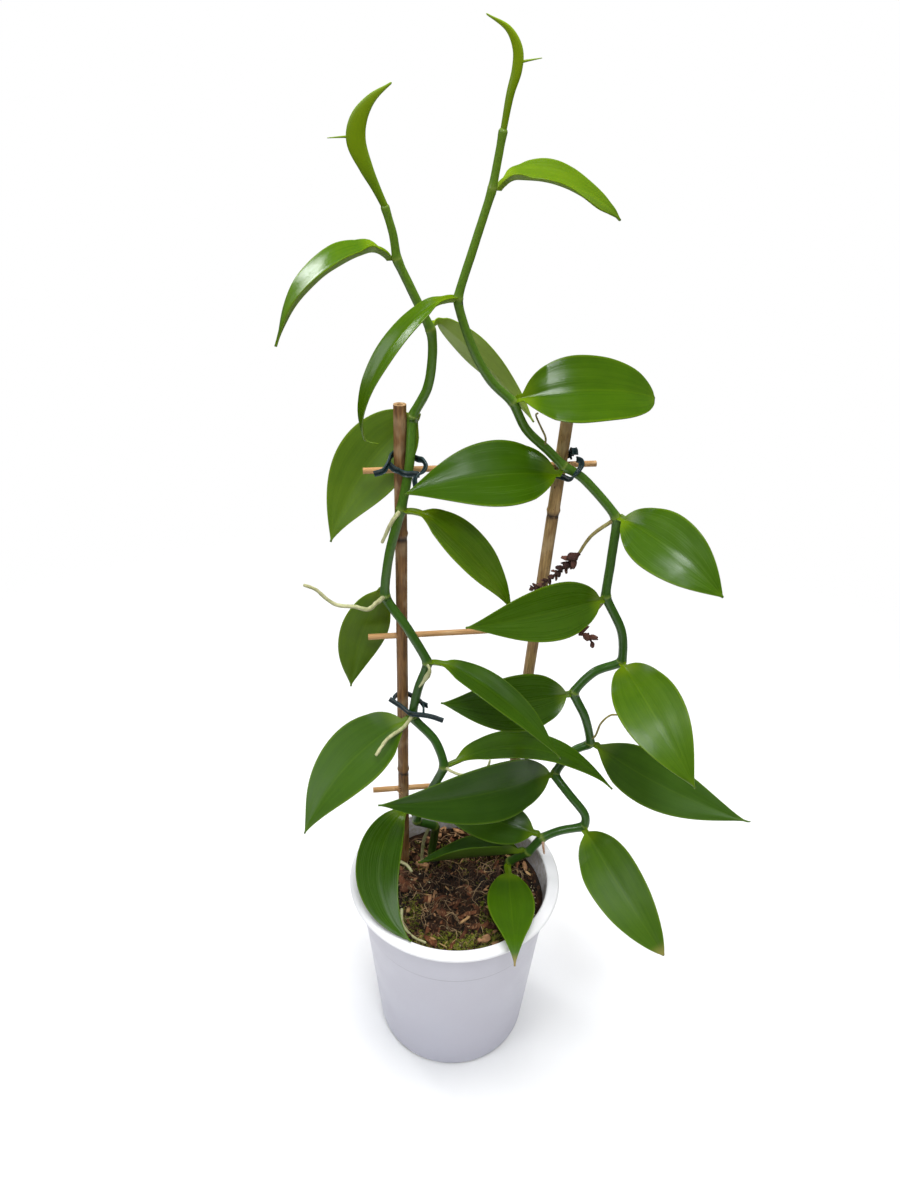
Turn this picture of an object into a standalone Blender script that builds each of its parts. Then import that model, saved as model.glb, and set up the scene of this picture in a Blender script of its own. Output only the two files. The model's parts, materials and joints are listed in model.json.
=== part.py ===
"""A vanilla orchid trained up a bamboo ladder in a white nursery pot.

Metres, +Z up. The origin is the centre of the pot's foot, on the surface it stands on. The ladder
and the fleshy leaves face -Y. Every leaf grows from a named joint of one of the two vines.
"""

import math

import bmesh
import bpy
from mathutils import Matrix, Quaternion, Vector, geometry, noise

MM = 0.001
TOUCHING = 0.0003

# Pot: a tapered plastic shell with a flat lip
POT_HEIGHT = 0.1146
POT_FOOT_RADIUS = 0.044
POT_TOP_RADIUS = 0.0545
POT_LIP_RADIUS = 0.060
POT_LIP_DEPTH = 0.0022
POT_WALL = 0.0015
POT_FLOOR = 0.0018
POT_LEDGE_HEIGHT = 0.088
POT_LEDGE_STEP = 0.0006
POT_SIDES = 48
DRAIN_HOLES = 6
DRAIN_RADIUS = 0.0035
DRAIN_CIRCLE = 0.028

# Bark mix that fills the pot
BARK_LEVEL = 0.1000
BARK_RELIEF = 0.0040
BARK_CHIP = 0.0105
BARK_SECTORS = 40
BARK_RINGS = 11
HOLE_LENGTH = 0.100

# Bamboo ladder: two canes, three rungs through them
LADDER_TURN = math.radians(8)
LEFT_CANE_PLACE = Vector((-0.0305, 0.0245, 0))
CANE_SPACING = 0.0600
CANE_FOOT = 0.026
CANE_TOP = 0.3830
CANE_RADIUS = 0.0030
CANE_LEAN = math.radians(3.8)
CANE_JOINT_HEIGHTS = {"cane_left": (0.170, 0.318), "cane_right": (0.205, 0.328)}
RUNG_RADIUS = 0.0016
RUNG_HEIGHTS = {"rung_lower": 0.1560, "rung_middle": 0.2600, "rung_upper": 0.3515}
RUNG_OVERHANG = 0.0175

# Vines, thickest where they leave the bark
STEM_BASE_RADIUS = 0.0024
STEM_TIP_RADIUS = 0.0015
STEM_TAPER = 4
JOINT_SWELL = 1.16
STEPS_PER_SPAN = 3
BEND_AT_JOINT = 0.45
SEAT_REACH = 0.008

# Leaves
LEAF_THICK = 0.0018
LEAF_EDGE = 0.0007
STALK_WIDTH = 0.0044
NECK_SHARE = 0.16
HOOK_SHARE = 0.22
FULLEST = 0.38
BLADE_STEPS = 11
ACROSS = (-1, -0.58, 0, 0.58, 1)

TIE_WIDTH = 0.0030
TIE_THICK = 0.0011

COLOURS = {
    "pot": ((0.80, 0.80, 0.82, 1), 0.38),
    "bark": ((0.12, 0.065, 0.035, 1), 0.95),
    "bamboo": ((0.42, 0.24, 0.12, 1), 0.60),
    "rung": ((0.66, 0.42, 0.22, 1), 0.60),
    "stem": ((0.055, 0.16, 0.035, 1), 0.40),
    "leaf": ((0.085, 0.22, 0.020, 1), 0.32),
    "young": ((0.22, 0.36, 0.045, 1), 0.35),
    "root": ((0.55, 0.56, 0.36, 1), 0.70),
    "withered": ((0.13, 0.055, 0.040, 1), 0.90),
    "tie": ((0.020, 0.045, 0.045, 1), 0.45),
}

# Routes of the two vines. A named point is a joint, which a leaf, root or spike can grow from.
LEFT_VINE = [
    (None, (-0.0140, 0.0260, 0.0640)),
    (None, (-0.0140, 0.0260, 0.1000)),
    (None, (-0.0125, 0.0240, 0.1180)),
    ("L0", (-0.0120, 0.0200, 0.1310)),
    ("L1", (-0.0225, 0.0140, 0.1410)),
    (None, (-0.0176, 0.0115, 0.1586)),
    ("L2", (-0.0075, 0.0080, 0.1860)),
    (None, (-0.0125, 0.0120, 0.2010)),
    ("L3", (-0.0245, 0.0165, 0.2130)),
    (None, (-0.0220, 0.0165, 0.2310)),
    ("L4", (-0.0170, 0.0150, 0.2495)),
    (None, (-0.0270, 0.0155, 0.2695)),
    ("L5", (-0.0384, 0.0200, 0.2854)),
    (None, (-0.0361, 0.0180, 0.3092)),
    ("L6", (-0.0300, 0.0178, 0.3340)),
    (None, (-0.0260, 0.0195, 0.3560)),
    ("L7", (-0.0248, 0.0245, 0.3770)),
    (None, (-0.0180, 0.0215, 0.3915)),
    (None, (-0.0158, 0.0180, 0.4070)),
    ("L8", (-0.0165, 0.0160, 0.4180)),
    (None, (-0.0240, 0.0130, 0.4340)),
    ("L9", (-0.0300, 0.0100, 0.4470)),
    (None, (-0.0315, 0.0080, 0.4570)),
    ("L10", (-0.0343, 0.0060, 0.4670)),
]
RIGHT_VINE = [
    (None, (0.0320, 0.0190, 0.0640)),
    (None, (0.0320, 0.0190, 0.0990)),
    ("R0", (0.0330, 0.0150, 0.1090)),
    ("R1", (0.0420, 0.0070, 0.1250)),
    ("R2", (0.0490, 0.0060, 0.1370)),
    (None, (0.0590, 0.0080, 0.1410)),
    ("R3", (0.0725, 0.0100, 0.1430)),
    (None, (0.0728, 0.0112, 0.1510)),
    (None, (0.0627, 0.0140, 0.1640)),
    ("R4", (0.0553, 0.0210, 0.1717)),
    (None, (0.0644, 0.0260, 0.1837)),
    ("R5", (0.0739, 0.0260, 0.1903)),
    (None, (0.0692, 0.0240, 0.2094)),
    ("R6", (0.0616, 0.0240, 0.2259)),
    (None, (0.0715, 0.0260, 0.2383)),
    ("R7", (0.0853, 0.0270, 0.2445)),
    (None, (0.0832, 0.0260, 0.2640)),
    ("R8", (0.0730, 0.0260, 0.2845)),
    (None, (0.0733, 0.0260, 0.3055)),
    ("R9", (0.0732, 0.0260, 0.3285)),
    (None, (0.0568, 0.0270, 0.3470)),
    ("R10", (0.0464, 0.0275, 0.3535)),
    (None, (0.0380, 0.0260, 0.3620)),
    (None, (0.0270, 0.0230, 0.3730)),
    ("R11", (0.0200, 0.0180, 0.3870)),
    (None, (0.0093, 0.0140, 0.3980)),
    (None, (0.0006, 0.0100, 0.4140)),
    ("R12", (-0.0053, 0.0080, 0.4325)),
    (None, (0.0009, 0.0060, 0.4545)),
    ("R13", (0.0067, 0.0040, 0.4740)),
    ("R14", (0.0099, 0.0020, 0.4940)),
]

# One row a leaf. It grows at a joint with a length, width and stalk in millimetres. Degrees set the
# compass heading (0 is +X, 90 is +Y) and climb at its base, the roll of its face, the bend of its
# neck, the droop of its blade, the hook of its tip, the sideways swing, the twist and the fold of
# each half. taper sets how drawn-out the tip is.
LEAVES = {
    "leaf_left_1": dict(at="L1", length=89, width=27, stalk=9, heading=-157, climb=72, roll=14, neck=102,
                        droop=13, swing=105, fold=12),
    "leaf_left_2": dict(at="L2", length=98, width=24, stalk=5, heading=24, climb=19, roll=-3, neck=8,
                        droop=47, twist=5, fold=16, swing=-49),
    "leaf_left_3": dict(at="L3", length=82, width=38, stalk=3, heading=-153, climb=-12, roll=-14, neck=10,
                        droop=27, fold=8, swing=27),
    "leaf_left_4": dict(at="L4", length=84, width=18, stalk=6, heading=-31, climb=26, roll=11, neck=42,
                        droop=39, twist=10, fold=16, swing=-5),
    "leaf_left_5": dict(at="L5", length=72, width=26, stalk=11, heading=88, climb=39, roll=-143, neck=-135,
                        droop=5, swing=26, fold=8),
    "leaf_left_6": dict(at="L6", length=76, width=25, stalk=7, heading=-26, climb=22, roll=15, neck=62,
                        droop=25, hook=15, twist=10, fold=14),
    "leaf_left_7": dict(at="L7", length=86, width=34, stalk=9, heading=61, climb=2, roll=-130, neck=-112,
                        droop=0, swing=42, fold=8),
    "leaf_left_8": dict(at="L8", length=83, width=15, stalk=8, heading=83, climb=25, roll=-30, neck=71,
                        droop=36, fold=12, swing=-14, hook=11),
    "leaf_left_9": dict(at="L9", length=66, width=28, stalk=6, heading=-160, climb=66, roll=-10, neck=84,
                        droop=52, hook=2, fold=16, swing=12),
    "leaf_right_0": dict(at="R0", length=79, width=26, stalk=9, heading=-90, climb=30, roll=0, neck=21,
                         droop=-9, hook=70, fold=6, taper=1.4),
    "leaf_right_1": dict(at="R1", length=61, width=26, stalk=3, heading=182, climb=-6, roll=26, neck=0,
                         droop=4, fold=38),
    "leaf_right_2": dict(at="R2", length=62, width=26, stalk=3, heading=172, climb=14, roll=-30, neck=0,
                         droop=30, fold=10),
    "leaf_right_3": dict(at="R3", length=78, width=31, stalk=2, heading=-64, climb=-12, roll=44, neck=-6,
                         droop=37, fold=10, taper=0.9, swing=-7),
    "leaf_right_4": dict(at="R4", length=109, width=33, stalk=2, heading=-148, climb=13, roll=-73, neck=-14,
                         droop=44, fold=10, swing=3),
    "leaf_right_5": dict(at="R5", length=96, width=30, stalk=2, heading=-6, climb=-38, roll=52, neck=-6,
                         droop=-23, fold=8, swing=16),
    "leaf_right_6": dict(at="R6", length=71, width=31, stalk=2, heading=-162, climb=-2, roll=-69, neck=-7,
                         droop=21, fold=8, swing=-13),
    "leaf_right_7": dict(at="R7", length=76, width=33, stalk=2, heading=-77, climb=1, roll=22, neck=15,
                         droop=53, fold=8, swing=6),
    "leaf_right_8": dict(at="R8", length=78, width=28, stalk=2, heading=-147, climb=5, roll=-68, neck=-9,
                         droop=39, fold=8, swing=1),
    "leaf_right_9": dict(at="R9", length=62, width=31, stalk=2, heading=-47, climb=-4, roll=41, neck=7,
                         droop=36, fold=8, taper=1.1, swing=-10),
    "leaf_right_10": dict(at="R10", length=75, width=34, stalk=2, heading=-165, climb=6, roll=-40, neck=-3,
                          droop=23, fold=8, swing=11),
    "leaf_right_11": dict(at="R11", length=70, width=31, stalk=2, heading=3, climb=11, roll=53, neck=1,
                          droop=47, fold=8, taper=0.6, swing=-6),
    "leaf_right_12": dict(at="R12", length=78, width=12, stalk=4, heading=-137, climb=16, roll=-14, neck=49,
                          droop=66, hook=19, fold=22, swing=-3),
    "leaf_right_13": dict(at="R13", length=60, width=22, stalk=4, heading=10, climb=68, roll=5, neck=71,
                          droop=36, fold=15, hook=4, twist=43, swing=-6),
}


# Each shoot ends in a young leaf still folded round its tip: places along it with the half-width
# across the fold in millimetres. A hair-thin sheath tip stands off sideways from one of the places.
YOUNG = {
    "young_left": (
        [(-34.4, 5.9, 467.3, 1.4), (-37.7, 5, 474, 1.8), (-41.2, 4, 481, 2.7), (-44.4, 3, 489.5, 3.7),
         (-43.1, 2, 497, 3.2), (-38.2, 1, 503.6, 1.7), (-31, 0, 508.6, 0.4)],
        [(-45, 3, 490.8), (-48.4, 3, 491), (-55, 3, 490.5)],
    ),
    "young_right": (
        [(10, 2, 494.3, 1.2), (11.8, 1, 505.6, 1.5), (13.8, 0, 513.5, 1.9), (13.6, -1, 520, 1.8),
         (9.9, -2, 525.8, 1.1), (2.5, -3, 529.7, 0.3)],
        [(13.8, 0, 515.6), (16.6, 0, 516.2), (22.4, 0, 517.2)],
    ),
}

# Roots and thin tendrils: millimetres, from the vine outwards, with the radius at both ends
ROOTS = {
    "root_left_6": ("L", 1.1, 0.8, [
        (-30.8, 14.2, 334.6), (-33.5, 12, 331.2), (-35.9, 11, 326.5), (-38.5, 10, 320.7)]),
    "root_left_5": ("L", 1.2, 0.8, [
        (-38.4, 16.9, 286.3), (-42.2, 13, 285.7), (-46.2, 9.6, 283.9), (-52.3, 8.6, 285.9), (-60.4, 8, 286.8),
        (-65.6, 8, 290), (-71, 8, 295.4), (-76.4, 8, 297.7)]),
    "root_left_4": ("L", 1.1, 0.7, [
        (-18.2, 11.2, 250.2), (-15.6, 10.4, 248.2), (-17.3, 10.2, 243.7), (-20.9, 10.4, 237.4)]),
    "root_left_3": ("L", 1.1, 0.9, [
        (-24.6, 11, 215.4), (-29.4, 6.2, 213.8), (-35, 2.2, 211.8), (-38.5, -1.2, 210), (-42.6, -7, 206.2)]),
    "root_left_2": ("L", 0.8, 0.6, [
        (-6.4, 4.2, 187.2), (-1.5, 2, 187.4), (4.3, -0.6, 188.4), (11.6, -2.8, 193), (15.7, -4, 197.6),
        (16.6, -4.4, 202)]),
    "root_bark_rear": ("L", 1.0, 0.9, [
        (-16.6, 17.2, 131.5), (-18.4, 17.6, 122), (-19.4, 18.9, 111), (-19.7, 20.6, 100.2)]),
    "root_bark_left": (None, 1.2, 0.9, [
        (-38.8, 23.4, 101), (-33.6, 20.2, 101.6), (-28.8, 17.5, 101.5), (-25.6, 13.6, 100.5)]),
    "root_bark_front": (None, 0.9, 0.7, [
        (-29.7, -15.4, 100.9), (-29.4, -21.8, 101), (-26.8, -29, 100.8), (-21.6, -35, 101.1),
        (-15.6, -38.6, 101.8)]),
    "tendril_right_5": ("R", 0.6, 0.5, [
        (75.3, 22.4, 193.4), (75.8, 22.4, 198.8), (78, 23.2, 206.4), (83, 26, 209.8), (88, 28, 208.9)]),
    "tendril_right_10": ("R", 0.5, 0.4, [
        (37.4, 22.8, 366), (36, 22, 369.5), (33.5, 21, 374.7), (30.8, 20, 380.4), (31.4, 19.4, 381.8)]),
    "dry_sheath": ("R", 0.9, 0.5, [
        (49.3, 2.4, 138.6), (49.9, 1.2, 134), (50.6, 1.4, 129.6)]),
}

# Withered flower spikes: a thin stalk, then an axis thickly set with shrivelled bracts
SPIKES = {
    "spike_upper": (26, [(70.4, 24.2, 327.2), (63.7, 24.8, 321), (60, 25.4, 315.5), (57.3, 25.4, 309.8)],
                    [(57.2, 25.4, 309.2), (53.1, 25.6, 304.4), (48.6, 26, 299.2), (44, 26.2, 294.2),
                     (39.4, 27, 289.8), (35.5, 28.6, 287.2)]),
    "spike_lower": (6, [(71.6, 29.2, 281.6), (69.6, 30.5, 273.8), (66.4, 30.6, 266.6), (60.6, 29.4, 260.6)],
                    [(61.8, 29.4, 260), (65.8, 29.2, 259.2), (69.2, 28, 255.4)]),
}

# Twist ties: each strand is a flat ribbon through places in millimetres, with the direction its
# width points in
UP = (0, 0, 1)
ACROSS_X = (1, 0, 0)
TIES = {
    "tie_left_upper": [
        [(-42.2, 17, 352.1, UP), (-37.8, 17.6, 353.6, UP), (-35.6, 20.6, 356.6, UP), (-35, 24.2, 358, UP),
         (-33.2, 28, 358.4, UP), (-30, 29, 358.4, UP), (-26.8, 27.4, 358.3, UP), (-23.8, 23.6, 358, UP),
         (-21.8, 20, 358.6, (0.3, -0.3, 0.9)), (-19.8, 17.4, 359.2, (0.5, -0.8, 0.5)),
         (-18.4, 15.8, 357.4, (0.5, -0.9, 0)), (-19.3, 14.8, 355, (0.2, -0.9, 0)),
         (-21.6, 14.2, 353.2, (0, -0.9, 0.4)), (-23.3, 13.5, 351.2, (0.6, -0.8, 0)),
         (-22.8, 13, 348, (0.8, -0.6, 0))],
        [(-35.4, 20.2, 355.8, UP), (-33.2, 20, 353.6, UP), (-31, 19.6, 352.9, UP), (-28.9, 17, 352.8, UP),
         (-26.6, 15.6, 352.9, UP), (-24, 15.6, 353.1, UP), (-21.4, 14.2, 353.4, UP)],
    ],
    "tie_right": [
        [(50.4, 35.2, 355.6, UP), (50, 37.8, 355.6, UP), (46.4, 39.8, 353, UP), (42.4, 38.8, 349.6, UP),
         (40.6, 35.4, 348, UP), (41.6, 31.6, 348, UP), (44.4, 29.8, 348, UP), (46.8, 27.6, 348, UP),
         (48.8, 24.8, 348.6, (0.2, -0.5, 0.8)), (51.2, 23.4, 351.4, (0.5, -0.6, 0.6)),
         (53.8, 25, 354.6, (0.7, -0.3, 0.5)), (54, 28, 356.2, (0.7, 0.3, 0.5)), (52.4, 31, 356, UP)],
        [(50.3, 37.4, 355.4, ACROSS_X), (50.7, 37.2, 357.6, ACROSS_X), (51, 35.4, 359.8, ACROSS_X),
         (51.4, 33.2, 359.6, ACROSS_X), (51.6, 31.6, 358, ACROSS_X)],
    ],
    "tie_left_lower": [
        [(-37.4, 21.6, 221.2, UP), (-33.8, 20.2, 219.4, UP), (-31, 18.8, 218.4, UP), (-28, 15.6, 218.1, UP),
         (-25.6, 13, 218.2, UP), (-22.2, 12.2, 218.2, UP), (-19, 12, 218.1, UP), (-14, 11, 217.8, UP),
         (-8.2, 10, 216.2, UP)],
        [(-34.6, 20.9, 219.6, UP), (-35.3, 24.6, 219.6, UP), (-32.6, 28.6, 219.8, UP),
         (-28.6, 28.2, 220.2, UP), (-24, 24, 220.8, UP), (-20.8, 20, 221.2, UP), (-19, 16.4, 220.8, UP),
         (-18.8, 12.4, 218.9, UP)],
        [(-20.3, 18.6, 221.2, UP), (-16.8, 15.6, 221.6, UP)],
    ],
}


def clear_scene():
    for obj in list(bpy.data.objects):
        bpy.data.objects.remove(obj, do_unlink=True)


def material(name):
    found = bpy.data.materials.get(name)
    if found:
        return found
    colour, roughness = COLOURS[name]
    made = bpy.data.materials.new(name)
    made.use_nodes = True
    shader = made.node_tree.nodes["Principled BSDF"]
    shader.inputs["Base Color"].default_value = colour
    shader.inputs["Roughness"].default_value = roughness
    shader.inputs["Metallic"].default_value = 0.0
    made.diffuse_color = colour
    return made


def object_from(name, bm, finish, sharp_degrees=40):
    bmesh.ops.recalc_face_normals(bm, faces=bm.faces)
    mesh = bpy.data.meshes.new(name)
    bm.to_mesh(mesh)
    bm.free()
    mesh.shade_smooth()
    mesh.set_sharp_from_angle(angle=math.radians(sharp_degrees))
    obj = bpy.data.objects.new(name, mesh)
    bpy.context.scene.collection.objects.link(obj)
    if finish:
        mesh.materials.append(material(finish))
    return obj


def as_cutter(obj):
    obj.hide_render = True
    obj.display_type = "WIRE"
    return obj


def cut(obj, cutter):
    step = obj.modifiers.new(cutter.name, "BOOLEAN")
    step.operation = "DIFFERENCE"
    step.solver = "EXACT"
    step.object = cutter


def skin(rings, other_diagonal=()):
    """A closed bmesh over rings of equal count. Quads starting at the listed columns split the other way."""
    bm = bmesh.new()
    rows = [[bm.verts.new(p) for p in ring] for ring in rings]
    count = len(rows[0])
    for lower, upper in zip(rows, rows[1:]):
        for j in range(count):
            k = (j + 1) % count
            if j in other_diagonal:
                bm.faces.new((lower[j], lower[k], upper[j]))
                bm.faces.new((lower[k], upper[k], upper[j]))
            else:
                bm.faces.new((lower[j], lower[k], upper[k]))
                bm.faces.new((lower[j], upper[k], upper[j]))
    bm.faces.new(rows[0])
    bm.faces.new(rows[-1])
    return bm


def turned(name, profile, sides, finish):
    """A solid of revolution about Z from an outline that starts and ends on the axis."""
    bm = bmesh.new()
    line = [bm.verts.new((r, 0, z)) for r, z in profile]
    edges = [bm.edges.new(pair) for pair in zip(line, line[1:])]
    bmesh.ops.spin(
        bm, geom=line + edges, cent=(0, 0, 0), axis=(0, 0, 1), dvec=(0, 0, 0), angle=math.tau, steps=sides
    )
    bmesh.ops.remove_doubles(bm, verts=bm.verts, dist=1e-6)
    bmesh.ops.dissolve_degenerate(bm, edges=bm.edges, dist=1e-7)
    return object_from(name, bm, finish)


def rod(name, start, end, radius, sides, finish):
    """A straight round bar between two points."""
    axis = end - start
    bm = bmesh.new()
    bmesh.ops.create_cone(
        bm, cap_ends=True, segments=sides, radius1=radius, radius2=radius, depth=axis.length
    )
    obj = object_from(name, bm, finish)
    obj.location = (start + end) / 2
    obj.rotation_mode = "QUATERNION"
    obj.rotation_quaternion = axis.to_track_quat("Z", "Y")
    return obj


def hermite(a, b, leave, arrive, t):
    """The point at share t of a smooth span from a to b with the given end tangents."""
    t2, t3 = t * t, t * t * t
    return (
        a * (2 * t3 - 3 * t2 + 1)
        + leave * (t3 - 2 * t2 + t)
        + b * (3 * t2 - 2 * t3)
        + arrive * (t3 - t2)
    )


def smooth_route(points, steps, pull=None):
    """Points along a smooth curve through the given ones. pull shortens the tangents at some of them."""
    pull = pull or [1.0] * len(points)
    slopes = []
    for i in range(len(points)):
        before = points[max(i - 1, 0)]
        after = points[min(i + 1, len(points) - 1)]
        slopes.append((after - before) / (2 if 0 < i < len(points) - 1 else 1) * pull[i])
    route = []
    for i in range(len(points) - 1):
        for s in range(steps):
            route.append(hermite(points[i], points[i + 1], slopes[i], slopes[i + 1], s / steps))
    route.append(points[-1])
    return route


def tube(name, route, radii, resolution, finish):
    """A round tube along a route, with its own radius at each point."""
    curve = bpy.data.curves.new(name, "CURVE")
    curve.dimensions = "3D"
    curve.bevel_depth = MM
    curve.bevel_resolution = resolution
    curve.use_fill_caps = True
    spline = curve.splines.new("POLY")
    spline.points.add(len(route) - 1)
    spline.use_smooth = True
    for point, place, radius in zip(spline.points, route, radii):
        point.co = (*place, 1)
        point.radius = radius / MM
    curve.materials.append(material(finish))
    obj = bpy.data.objects.new(name, curve)
    bpy.context.scene.collection.objects.link(obj)
    return obj


def pot():
    """The shell, turned in one piece, with drain holes through its floor."""
    inner_top = POT_TOP_RADIUS - POT_WALL
    inner_foot = POT_FOOT_RADIUS - POT_WALL
    ledge = POT_FOOT_RADIUS + (POT_TOP_RADIUS - POT_FOOT_RADIUS) * POT_LEDGE_HEIGHT / POT_HEIGHT
    lip_under = POT_HEIGHT - POT_LIP_DEPTH
    profile = [
        (0, 0),
        (POT_FOOT_RADIUS - 4 * MM, 0),
        (POT_FOOT_RADIUS - 1 * MM, 1 * MM),
        (POT_FOOT_RADIUS, 4 * MM),
        (ledge, POT_LEDGE_HEIGHT),
        (ledge + POT_LEDGE_STEP, POT_LEDGE_HEIGHT + 0.8 * MM),
        (POT_TOP_RADIUS, lip_under - 0.8 * MM),
        (POT_TOP_RADIUS + 1 * MM, lip_under),
        (POT_LIP_RADIUS - 0.5 * MM, lip_under),
        (POT_LIP_RADIUS, lip_under + 0.5 * MM),
        (POT_LIP_RADIUS, POT_HEIGHT - 0.8 * MM),
        (POT_LIP_RADIUS - 0.8 * MM, POT_HEIGHT),
        (inner_top + 0.8 * MM, POT_HEIGHT),
        (inner_top, POT_HEIGHT - 0.8 * MM),
        (inner_foot, POT_FLOOR + 3 * MM),
        (inner_foot - 3 * MM, POT_FLOOR),
        (0, POT_FLOOR),
    ]
    shell = turned("pot", profile, POT_SIDES, "pot")
    for i in range(DRAIN_HOLES):
        turn = Matrix.Rotation(math.tau * i / DRAIN_HOLES, 3, "Z")
        place = turn @ Vector((DRAIN_CIRCLE, 0, 0))
        below = place - Vector((0, 0, 4 * MM))
        above = place + Vector((0, 0, 6 * MM))
        cut(shell, as_cutter(rod(f"drain_{i + 1}", below, above, DRAIN_RADIUS, 10, None)))
    return shell


def inner_radius(z):
    """The pot's inside radius at a height."""
    foot, top = POT_FOOT_RADIUS - POT_WALL, POT_TOP_RADIUS - POT_WALL
    low, high = POT_FLOOR + 3 * MM, POT_HEIGHT - 0.8 * MM
    return foot + (top - foot) * (z - low) / (high - low)


def bark_height(x, y):
    """The lumpy top of the mix: rounded chips with sunken gaps between them."""
    place = Vector((x / BARK_CHIP, y / BARK_CHIP, 0.3))
    distances = noise.voronoi(place, distance_metric="DISTANCE")[0]
    gap = min(1.0, (distances[1] - distances[0]) * 2.2)
    chip = noise.cell(place * 0.9) * 0.5
    swell = noise.noise(Vector((x, y, 0)) / 0.028)
    return BARK_LEVEL + BARK_RELIEF * (0.55 * gap + 0.35 * chip + 0.45 * swell - 0.4)


def bark():
    """The mix as one solid that fills the pot, with a plain hole for each cane and stem."""
    bm = bmesh.new()
    bottom_z = POT_FLOOR + TOUCHING
    edge_height = BARK_LEVEL - BARK_RELIEF * 0.3
    rim = inner_radius(edge_height) * math.cos(math.pi / POT_SIDES) - TOUCHING
    rings = [rim * ((i + 1) / BARK_RINGS) ** 0.8 for i in range(BARK_RINGS)]
    turns = [math.tau * s / BARK_SECTORS for s in range(BARK_SECTORS)]
    centre = bm.verts.new((0, 0, bark_height(0, 0)))
    loops = []
    for i, r in enumerate(rings):
        edge = i == len(rings) - 1
        loop = []
        for a in turns:
            x, y = r * math.cos(a), r * math.sin(a)
            loop.append(bm.verts.new((x, y, edge_height if edge else bark_height(x, y))))
        loops.append(loop)
    for z, r in (
        (POT_FLOOR + 3 * MM + TOUCHING, inner_radius(POT_FLOOR + 3 * MM) - TOUCHING),
        (bottom_z, inner_radius(POT_FLOOR + 3 * MM) - 3.2 * MM),
    ):
        loops.append([bm.verts.new((r * math.cos(a), r * math.sin(a), z)) for a in turns])
    for j in range(BARK_SECTORS):
        bm.faces.new((centre, loops[0][j], loops[0][(j + 1) % BARK_SECTORS]))
    for inner, outer in zip(loops, loops[1:]):
        for j in range(BARK_SECTORS):
            k = (j + 1) % BARK_SECTORS
            bm.faces.new((inner[j], outer[j], outer[k]))
            bm.faces.new((inner[j], outer[k], inner[k]))
    bm.faces.new(loops[-1])
    solid = object_from("bark_mix", bm, "bark", sharp_degrees=60)
    for name, (foot, top) in cane_axes().items():
        away = (top - foot).normalized()
        mouth = foot + away * HOLE_LENGTH
        hole = rod(f"hole_{name}", foot - away * MM, mouth, CANE_RADIUS + 2 * TOUCHING, 12, None)
        cut(solid, as_cutter(hole))
    for name, vine in (("left", LEFT_VINE), ("right", RIGHT_VINE)):
        base = Vector(vine[0][1])
        mouth = base + Vector((0, 0, HOLE_LENGTH))
        below = base - Vector((0, 0, MM))
        cut(solid, as_cutter(rod(f"hole_{name}", below, mouth, STEM_BASE_RADIUS + 2 * TOUCHING, 12, None)))
    return solid


def cane_axes():
    """Each cane's lowest and highest point. The right one leans out, so the ladder widens upwards."""
    along = Vector((math.cos(LADDER_TURN), math.sin(LADDER_TURN), 0))
    left_foot = LEFT_CANE_PLACE + Vector((0, 0, CANE_FOOT))
    left_top = LEFT_CANE_PLACE + Vector((0, 0, CANE_TOP))
    right_place = LEFT_CANE_PLACE + along * CANE_SPACING
    rise = CANE_TOP - CANE_FOOT
    lean = math.tan(CANE_LEAN)
    right_foot = right_place + Vector((0, 0, CANE_FOOT)) + along * (CANE_FOOT - BARK_LEVEL) * lean
    right_top = right_foot + Vector((0, 0, rise)) + along * rise * lean
    return {"cane_left": (left_foot, left_top), "cane_right": (right_foot, right_top)}


def cane(name, foot, top):
    """A bamboo cane: slightly tapered, with a raised ring at each joint."""
    length = (top - foot).length
    stations = [(0, 0.94), (0.004, 1.0)]
    for height in CANE_JOINT_HEIGHTS[name]:
        at = height - CANE_FOOT
        stations += [(at - 0.006, 1.0), (at - 0.0015, 1.10), (at + 0.0015, 1.12), (at + 0.004, 0.98)]
    stations += [(length * 0.9, 1.0), (length, 1.04)]
    profile = [(0, 0)] + [(CANE_RADIUS * r, z) for z, r in stations] + [(0, length)]
    obj = turned(name, profile, 12, "bamboo")
    obj.location = foot
    obj.rotation_mode = "QUATERNION"
    obj.rotation_quaternion = (top - foot).to_track_quat("Z", "Y")
    return obj


def ladder():
    """The canes, with the rungs pushed through holes drilled in them."""
    axes = cane_axes()
    canes = {name: cane(name, foot, top) for name, (foot, top) in axes.items()}
    for name, height in RUNG_HEIGHTS.items():
        ends = []
        for side, (foot, top) in zip((-1, 1), axes.values()):
            share = (height - foot.z) / (top.z - foot.z)
            at = foot.lerp(top, share)
            along = Vector((math.cos(LADDER_TURN), math.sin(LADDER_TURN), 0))
            ends.append(at + along * side * RUNG_OVERHANG)
        rod(name, ends[0], ends[1], RUNG_RADIUS, 10, "rung")
        for obj in canes.values():
            hole = rod(f"drilled_{name}_{obj.name}", ends[0], ends[1], RUNG_RADIUS + TOUCHING, 10, None)
            cut(obj, as_cutter(hole))


def vine_joint(joint):
    for vine in (LEFT_VINE, RIGHT_VINE):
        for name, place in vine:
            if name == joint:
                return Vector(place)
    raise KeyError(joint)


def stem_radius(share):
    return STEM_BASE_RADIUS + (STEM_TIP_RADIUS - STEM_BASE_RADIUS) * share ** STEM_TAPER


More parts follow.
